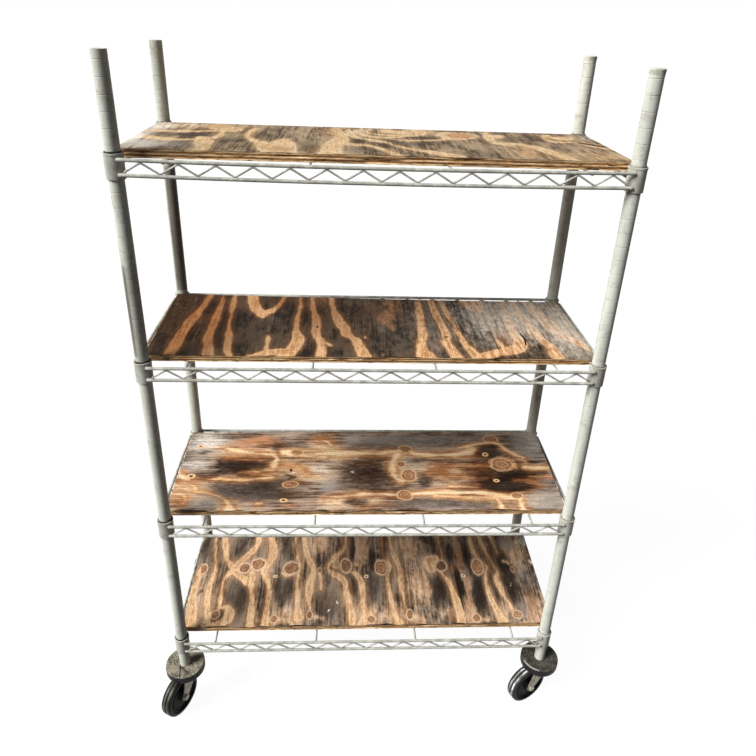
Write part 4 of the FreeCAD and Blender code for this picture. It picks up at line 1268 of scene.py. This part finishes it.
# Small knots with a pale ring round a dark eye
PIN_KNOTS = {
    "top": (),
    "upper": (),
    "lower": ((-410, -28, 9, 8), (-191, -112, 8, 6), (293, 51, 7, 7), (302, -46, 7, 5.5), (-412, 86, 7, 5)),
    "bottom": ((-346, 29, 4, 4), (-232, 6, 5, 5), (4, 4, 5.5, 5.5), (260, 2, 5.5, 5.5)),
}

# Clouds of each kind and how flat their tops are
CLOUDS = {
    "rust": (RUST_CLOUDS, 2.0), "soot": (SOOT_CLOUDS, 2.0), "sheen": (SHEEN_CLOUDS, 1.3),
    "pale": (PALE_CLOUDS, 1.3), "haze": (HAZE_CLOUDS, 1.0), "burn": (BURN_CLOUDS, 1.0),
}


def flowing(points, steps=6):
    """Catmull-Rom curve: each span is the cubic blend of its two ends and their neighbours."""
    known = np.asarray(points, float)
    known = np.vstack([2 * known[0] - known[1], known, 2 * known[-1] - known[-2]])
    before, start, end, after = known[:-3], known[1:-2], known[2:-1], known[3:]
    share = np.linspace(0, 1, steps, endpoint=False)[:, None, None]
    curve = 0.5 * (
        2 * start + (end - before) * share + (2 * before - 5 * start + 4 * end - after) * share ** 2
        + (3 * start - before - 3 * end + after) * share ** 3
    )
    return np.vstack([curve.transpose(1, 0, 2).reshape(-1, known.shape[1]), known[-2]])


def stroke_depth(s, t, stroke):
    """Depth of a place inside a stroke: the half width at the nearest point of its line less the distance."""
    line = flowing(stroke)
    depth = np.full(s.shape, FAR_FROM_BAND)
    low, high = line[:, :2].min(0) + FAR_FROM_BAND, line[:, :2].max(0) - FAR_FROM_BAND
    near = (s > low[0]) & (s < high[0]) & (t > low[1]) & (t < high[1])
    near_s, near_t = s[near], t[near]
    best = np.full(near_s.shape, FAR_FROM_BAND)
    for start, end in zip(line[:-1], line[1:]):
        run = end - start
        share = ((near_s - start[0]) * run[0] + (near_t - start[1]) * run[1]) / (run[:2] @ run[:2])
        share = np.clip(share, 0, 1)
        away = np.hypot(near_s - start[0] - share * run[0], near_t - start[1] - share * run[1])
        best = np.maximum(best, start[2] + share * run[2] - away)
    depth[near] = best
    return depth


def deepest(s, t, strokes):
    """Depth inside the nearest of several strokes."""
    return np.max([stroke_depth(s, t, stroke) for stroke in strokes], axis=0)


def clouded(s, t, clouds, flatness):
    """Strongest of several spots, exp(-0.7 d^(2 f)) with d the distance in half sizes and f the flatness."""
    total = np.zeros(s.shape)
    for along, across, wide, deep, strength in clouds:
        square = ((s - along) / wide) ** 2 + ((t - across) / deep) ** 2
        total = np.maximum(total, strength * np.exp(-0.7 * square ** flatness))
    return total


def knot_reaches(s, t, knots):
    """Distance to each knot in its own half sizes: 0 at its heart, 1 at its rim; the first row is far off."""
    none = np.full(s.shape, FAR_FROM_KNOT)
    return np.stack([none] + [np.hypot((s - knot[0]) / knot[2], (t - knot[1]) / knot[3]) for knot in knots])


def feathered(across, along, seed):
    """Frayed ends of scorch marks: two ripples that are quick across the grain and slow along it."""
    return ripple(across * 6.0, along * 0.25, seed) + 0.5 * ripple(across * 17.0, along * 0.4, seed + 2.0)


def board_edge(top, down, outward, seed):
    """Cut edge below a line of top points: plies stand in and out by turns, torn deeper where a ripple peaks.

    Row k lies k / rows of the thickness down; the recess fades to nothing at the corners, the top and the
    bottom, so that the board stays closed.
    """
    steps = np.linalg.norm(np.diff(top, axis=0), axis=1)
    run = np.concatenate([[0.0], np.cumsum(steps)])
    level = np.linspace(0, 1, PLY_ROWS + 1)
    run, height = np.meshgrid(run, level)
    layer = np.floor(height * PLY_COUNT * 0.999)  # a row on a glue line belongs to the ply above it
    rough = ripple(run * 2.1, layer * 37.0, seed)
    torn = np.clip(ripple(run * 0.6, layer * 91.0, seed + 3.0) - TEAR_LEVEL, 0, 1) * TEAR_DEPTH
    recess = np.clip(PLY_RECESS + PLY_STAGGER * (layer % 2) + PLY_ROUGHNESS * rough + torn, 0, None)
    fade = np.clip(np.minimum(run, run.max() - run) / EDGE_FADE, 0, 1) * ((height > 0) & (height < 1))
    return top + height[..., None] * down - (recess * fade)[..., None] * np.asarray(outward, float)


def board_grid(tier):
    """Face of a board on its own (s, t) grid, the step from its top down to its underside, and its depth.

    A place goes to the front top edge plus its depth a along the lean, (a cos, a sin), plus the lift of the
    warped back corners, which grows as (a / depth)^1.5 and changes from right to left as a square.
    """
    low, high = node_box("board_" + tier)
    lean, thickness = math.radians(BOARD_LEAN[tier]), BOARD_THICKNESS[tier]
    depth = (high[1] - low[1] - thickness * math.sin(lean)) / math.cos(lean)
    columns = np.linspace(low[0], high[0], int(round((high[0] - low[0]) / BOARD_STEP)) + 1)
    rows = np.linspace(0, depth, int(round(depth / BOARD_STEP)) + 1)
    s, back = np.meshgrid(columns, rows)
    left_lift, right_lift = BACK_LIFT[tier]
    left_share = np.clip((high[0] - s) / (high[0] - low[0]), 0, 1)
    lift = (right_lift + (left_lift - right_lift) * left_share ** 2) * (back / depth) ** 1.5
    points = np.stack([
        s, low[1] + back * math.cos(lean), low[2] + thickness * math.cos(lean) + back * math.sin(lean) + lift,
    ], -1)
    return points, np.array([0, thickness * math.sin(lean), -thickness * math.cos(lean)]), depth


def make_board(tier):
    """Plywood board: a grained face, four torn edges and a plain underside."""
    face, down, depth = board_grid(tier)
    borders = [face[0], face[:, -1], face[-1, ::-1], face[::-1, 0]]
    outward = [(0, -1, 0), (1, 0, 0), (0, 1, 0), (-1, 0, 0)]
    seed = TIERS.index(tier) * SEED_STEP
    edges = [
        board_edge(top, down, away, seed + index) for index, (top, away) in enumerate(zip(borders, outward))
    ]
    surfaces = [surface(face)] + [surface(edge, paint=1) for edge in edges]
    starts = np.cumsum([0] + [len(part["points"]) for part in surfaces])
    foot = [
        int(index) for edge, end in zip(edges, starts[2:])
        for index in range(end - edge.shape[1], end - 1)
    ]
    made = make_piece(
        "scorched_board_" + tier, "frame", surfaces, [VENEERS[tier], PLY_EDGE, UNDERSIDES[tier]],
        ["board_" + tier], polygons=[(foot, 2)],
    )
    places = mesh_points(made)
    front = face[0, 0]
    lean = math.radians(BOARD_LEAN[tier])
    s, t = places[:, 0], (places[:, 1] - front[1]) / math.cos(lean) - depth / 2
    front_burn = BURN_DEPTH * (BURN_LEVEL + ripple(s * 1.5, t * 0.0, seed)) - depth / 2 - t
    s, t = s + WANDER * ripple(s, t, seed), t + WANDER * ripple(t, s, seed + 1.0)
    add_values(made, "gold", deepest(s, t, GOLDEN_BANDS[tier]))
    add_values(made, "ember", deepest(s, t, EMBER_BANDS[tier]))
    add_values(made, "crack", np.maximum(deepest(s, t, CRACKS[tier]), front_burn))
    reach = knot_reaches(s, t, KNOTS[tier])
    add_values(made, "knot", reach.min(0))
    add_values(made, "heart", np.array([0.0] + [knot[4] for knot in KNOTS[tier]])[reach.argmin(0)])
    add_values(made, "pin", knot_reaches(s, t, PIN_KNOTS[tier]).min(0))
    if tier in LONG_GRAIN:
        s = s + FEATHER * feathered(t, s, seed)
    else:
        t = t + FEATHER * feathered(s, t, seed)
    for name, (clouds, flatness) in CLOUDS.items():
        add_values(made, name, clouded(s, t, clouds[tier], flatness))
    top_height = front[2] + (places[:, 1] - front[1]) * math.tan(lean)
    add_values(made, "ply", np.clip((top_height - places[:, 2]) / BOARD_THICKNESS[tier], 0, 1))


# Casters. Cracks are strokes about a bumper's axis.

BUMPER_CRACKS = (
    ((-22, 32, 2), (-13, 12, 2.2), (-9, -12, 2), (-4, -44, 1.6)),
    ((-13, 12, 1.6), (-28, 3, 1.4)),
    ((-9, -12, 1.6), (8, -25, 1.4), (14, -38, 1.2)),
)


def make_bumper(corner):
    """Rubber disc under a post, its rim rounded, its dust, scuffs and cracks stored on the mesh."""
    low, high = node_box("bumper_" + corner)
    centre = post_axis(corner)
    radius = (high[0] - low[0]) / 2
    flat = radius - BUMPER_ROUND
    pocket = low[2] + BUMPER_POCKET_DEPTH
    inwards = np.linspace(flat - BUMPER_TOP_INSET, BUMPER_HOLE_RADIUS, BUMPER_TOP_STEPS)
    profile = np.vstack([
        [[BUMPER_POCKET_RADIUS, low[2]]],
        arc((flat, low[2] + BUMPER_ROUND), BUMPER_ROUND, -90, 0, BUMPER_ROUND_STEPS),
        arc((flat, high[2] - BUMPER_ROUND), BUMPER_ROUND, 0, 90, BUMPER_ROUND_STEPS),
        np.stack([inwards, np.full(BUMPER_TOP_STEPS, high[2])], 1),
        [[BUMPER_HOLE_RADIUS, pocket], [BUMPER_POCKET_RADIUS, pocket]],
    ])
    disc = turned(profile, BUMPER_SEGMENTS, close=True)
    made = make_piece(
        "bumper_ring_" + corner, "frame", [moved(disc, (*centre, 0))],
        [BUMPER_DUSTY if corner == "front_left" else BUMPER_DARK], ["bumper_" + corner],
    )
    places = mesh_points(made) - [*centre, high[2]]
    reach = np.hypot(places[:, 0], places[:, 1])
    top = np.clip((places[:, 2] + BUMPER_ROUND * DUST_EDGE) / (BUMPER_ROUND * DUST_FADE), 0, 1)
    bearing = np.degrees(np.arctan2(places[:, 1], places[:, 0]))
    add_values(made, "dust", top)
    rubbed = (bearing > SCUFF_BEARINGS[0]) & (bearing < SCUFF_BEARINGS[1]) & (corner == "front_right")
    add_values(made, "scuff", soft_spot(reach - radius + SCUFF_INSET, SCUFF_SPREAD) * top * rubbed)
    torn = np.clip(deepest(places[:, 0], places[:, 1], BUMPER_CRACKS), 0, 1)
    add_values(made, "crack", top * torn * (corner == "front_left"))


def tyre_profile(seat):
    """Closed section: round shoulders, and a crown that drops as a fourth power with a bell-shaped groove."""
    side = TYRE_WIDTH / 2
    flat = side - TYRE_SHOULDER
    across = np.linspace(-flat, flat, TREAD_STEPS)
    valley = TREAD_GROOVE_DEPTH * soft_spot(across, TREAD_GROOVE_SPREAD)
    crown = WHEEL_RADIUS - valley - TREAD_DROP * (across / flat) ** 4
    shoulder = arc((-flat, WHEEL_RADIUS - TYRE_SHOULDER - TREAD_DROP), TYRE_SHOULDER, 180, 90)[:, ::-1]
    tread = np.vstack([shoulder, np.stack([crown, across], 1), (shoulder * [1, -1])[::-1]])
    return np.vstack([[[seat, -side]], tread, [[seat, side]]])


def core_profile(seat):
    """Closed section of the wheel centre: hub, filleted web and bevelled rim, the same on both sides."""
    rim, rim_side = seat - CORE_RIM_DEPTH, CORE_RIM_WIDTH / 2
    fillet_height = CORE_WEB / 2 + CORE_FILLET
    half = np.vstack([
        [[BUSH_RADIUS, HUB_WIDTH / 2]],
        arc((HUB_RADIUS - HUB_ROUND, HUB_WIDTH / 2 - HUB_ROUND), HUB_ROUND, 90, 0),
        arc((HUB_RADIUS + CORE_FILLET, fillet_height), CORE_FILLET, 180, 270),
        arc((rim - CORE_FILLET, fillet_height), CORE_FILLET, 270, 360),
        [[rim, rim_side - CORE_RIM_BEVEL], [rim + CORE_RIM_BEVEL, rim_side], [seat, rim_side]],
    ])
    return np.vstack([half, (half * [1, -1])[::-1]])


def make_wheel(corner):
    """Wheel centre and tyre turned about the axle, the tread split in two ridges."""
    joint = next(item for item in frame["joints"] if item["name"] == "roll_" + corner)
    centre = np.array(joint["pos_m"]) / MM
    axle = np.array(joint["axis"], float)
    forward = np.cross((0, 0, 1), axle)

    def on_axle(profile):
        """A profile turned about Z and laid on the axle."""
        part = turned(profile, WHEEL_SEGMENTS, close=True)
        points = part["points"]
        laid = points[:, :1] * forward + points[:, 1:2] * np.array([0, 0, 1]) + points[:, 2:] * axle
        return {**part, "points": laid + centre}

    seat = WHEEL_RADIUS - TYRE_DEPTH
    tyre = make_piece(
        "tyre_ring_" + corner, "wheel_body_" + corner, [on_axle(tyre_profile(seat))],
        [TYRE_BRIGHT_HIGHLIGHT if "right" in corner else TYRE_DIM_HIGHLIGHT], ["tyre_" + corner], sharp=50.0,
    )
    places = mesh_points(tyre) - centre
    width = places @ axle
    reach = np.sqrt((places ** 2).sum(1) - width ** 2)
    # Painted highlight: strongest on two stripes over the ridges of the outermost tread
    stripe = soft_spot(np.abs(width) - STRIPE_PLACE, STRIPE_SPREAD)
    outermost = np.clip((reach - WHEEL_RADIUS + HIGHLIGHT_DEPTH) / HIGHLIGHT_FADE, 0, 1)
    add_values(tyre, "tread", outermost * (HIGHLIGHT_LEAST + (1 - HIGHLIGHT_LEAST) * stripe))
    make_piece(
        "wheel_centre_" + corner, "wheel_body_" + corner, [on_axle(core_profile(seat))],
        [WHEEL_BLACK], ["wheel_core_" + corner],
    )


def paint_frame_nodes():
    """Finishes of the frame nodes that stay as they are, by the start of their names; a later match holds."""
    finishes = {
        "caster_stem": CASTER_STEEL, "fork": CASTER_STEEL, "post_inserts": CASTER_STEEL,
        "axle_bolt": FASTENER_STEEL, "axle_nut": FASTENER_STEEL, "axle_bush": BUSH_BRASS,
        "swivel_balls": BEARING_STEEL, "sleeves": SLEEVE_GREY, "sleeves_front_left": SLEEVE_BLACK,
    }
    for name, made in frame["nodes"].items():
        for start, material in finishes.items():
            if name.startswith(start):
                made.data.materials.clear()
                made.data.materials.append(material)


# Floor, light and camera


def make_floor():
    """Large pale floor: white to the camera and in reflections, with the part's soft shadow."""
    mesh = bpy.data.meshes.new("floor")
    square = [(-1, -1), (1, -1), (1, 1), (-1, 1)]
    mesh.from_pydata([(x * FLOOR_REACH, y * FLOOR_REACH, 0) for x, y in square], [], [(0, 1, 2, 3)])
    floor = bpy.data.objects.new("floor", mesh)
    bpy.context.scene.collection.objects.link(floor)
    material = bpy.data.materials.new("floor_white")
    material.use_nodes = True
    graph = Graph(material.node_tree)
    nodes = material.node_tree.nodes
    nodes.remove(nodes["Principled BSDF"])
    matt = graph.add("ShaderNodeBsdfDiffuse", {"Color": FLOOR_TONE})
    strength = graph.times(graph.seen_directly(), FLOOR_WHITENESS)
    glow = graph.add("ShaderNodeEmission", {"Color": WHITE, "Strength": strength})
    both = graph.add("ShaderNodeAddShader", {0: matt.outputs[0], 1: glow.outputs[0]})
    graph.link(both.outputs[0], nodes["Material Output"].inputs["Surface"])
    mesh.materials.append(material)


def add_sun(name, energy, softness, tilt, turn):
    """A sun lamp tipped from straight down by a tilt and turned about Z, angles in degrees."""
    lamp = bpy.data.lights.new(name, "SUN")
    lamp.energy = energy
    lamp.angle = math.radians(softness)
    lamp.color = SUN_COLOUR
    made = bpy.data.objects.new(name, lamp)
    made.rotation_euler = (math.radians(tilt), 0.0, math.radians(turn))
    bpy.context.scene.collection.objects.link(made)


def light_scene():
    """Soft key from the front left, a low lamp from the left and a dim sky that the camera sees as white."""
    for name, setting in SUNS.items():
        add_sun(name, *setting)
    world = bpy.data.worlds.new("studio")
    bpy.context.scene.world = world
    world.use_nodes = True
    graph = Graph(world.node_tree)
    background = world.node_tree.nodes["Background"].inputs
    background["Color"].default_value = WHITE
    strength = graph.plus(graph.times(graph.seen_directly(), 1 - SKY_LIGHT), SKY_LIGHT)
    graph.link(strength, background["Strength"])


def place_camera():
    """Camera where the photograph was taken from."""
    camera = bpy.data.cameras.new("camera")
    camera.sensor_width = SENSOR_MM
    camera.lens = FOCAL_PX * SENSOR_MM / FRAME_PX
    camera.shift_x = (FRAME_PX / 2 - CENTRE_PX[0]) / FRAME_PX
    camera.shift_y = (CENTRE_PX[1] - FRAME_PX / 2) / FRAME_PX
    holder = bpy.data.objects.new("camera", camera)
    holder.location = CAMERA_PLACE
    holder.rotation_euler = [math.radians(angle) for angle in CAMERA_TURN]
    bpy.context.scene.collection.objects.link(holder)
    bpy.context.scene.camera = holder


for corner in CORNERS:
    make_post(corner)
    make_cap(corner)
    make_bumper(corner)
    make_wheel(corner)
for tier in TIERS:
    make_shelf(tier)
    make_board(tier)
paint_frame_nodes()
make_floor()
light_scene()
place_camera()
bpy.context.scene.view_settings.view_transform = "Standard"
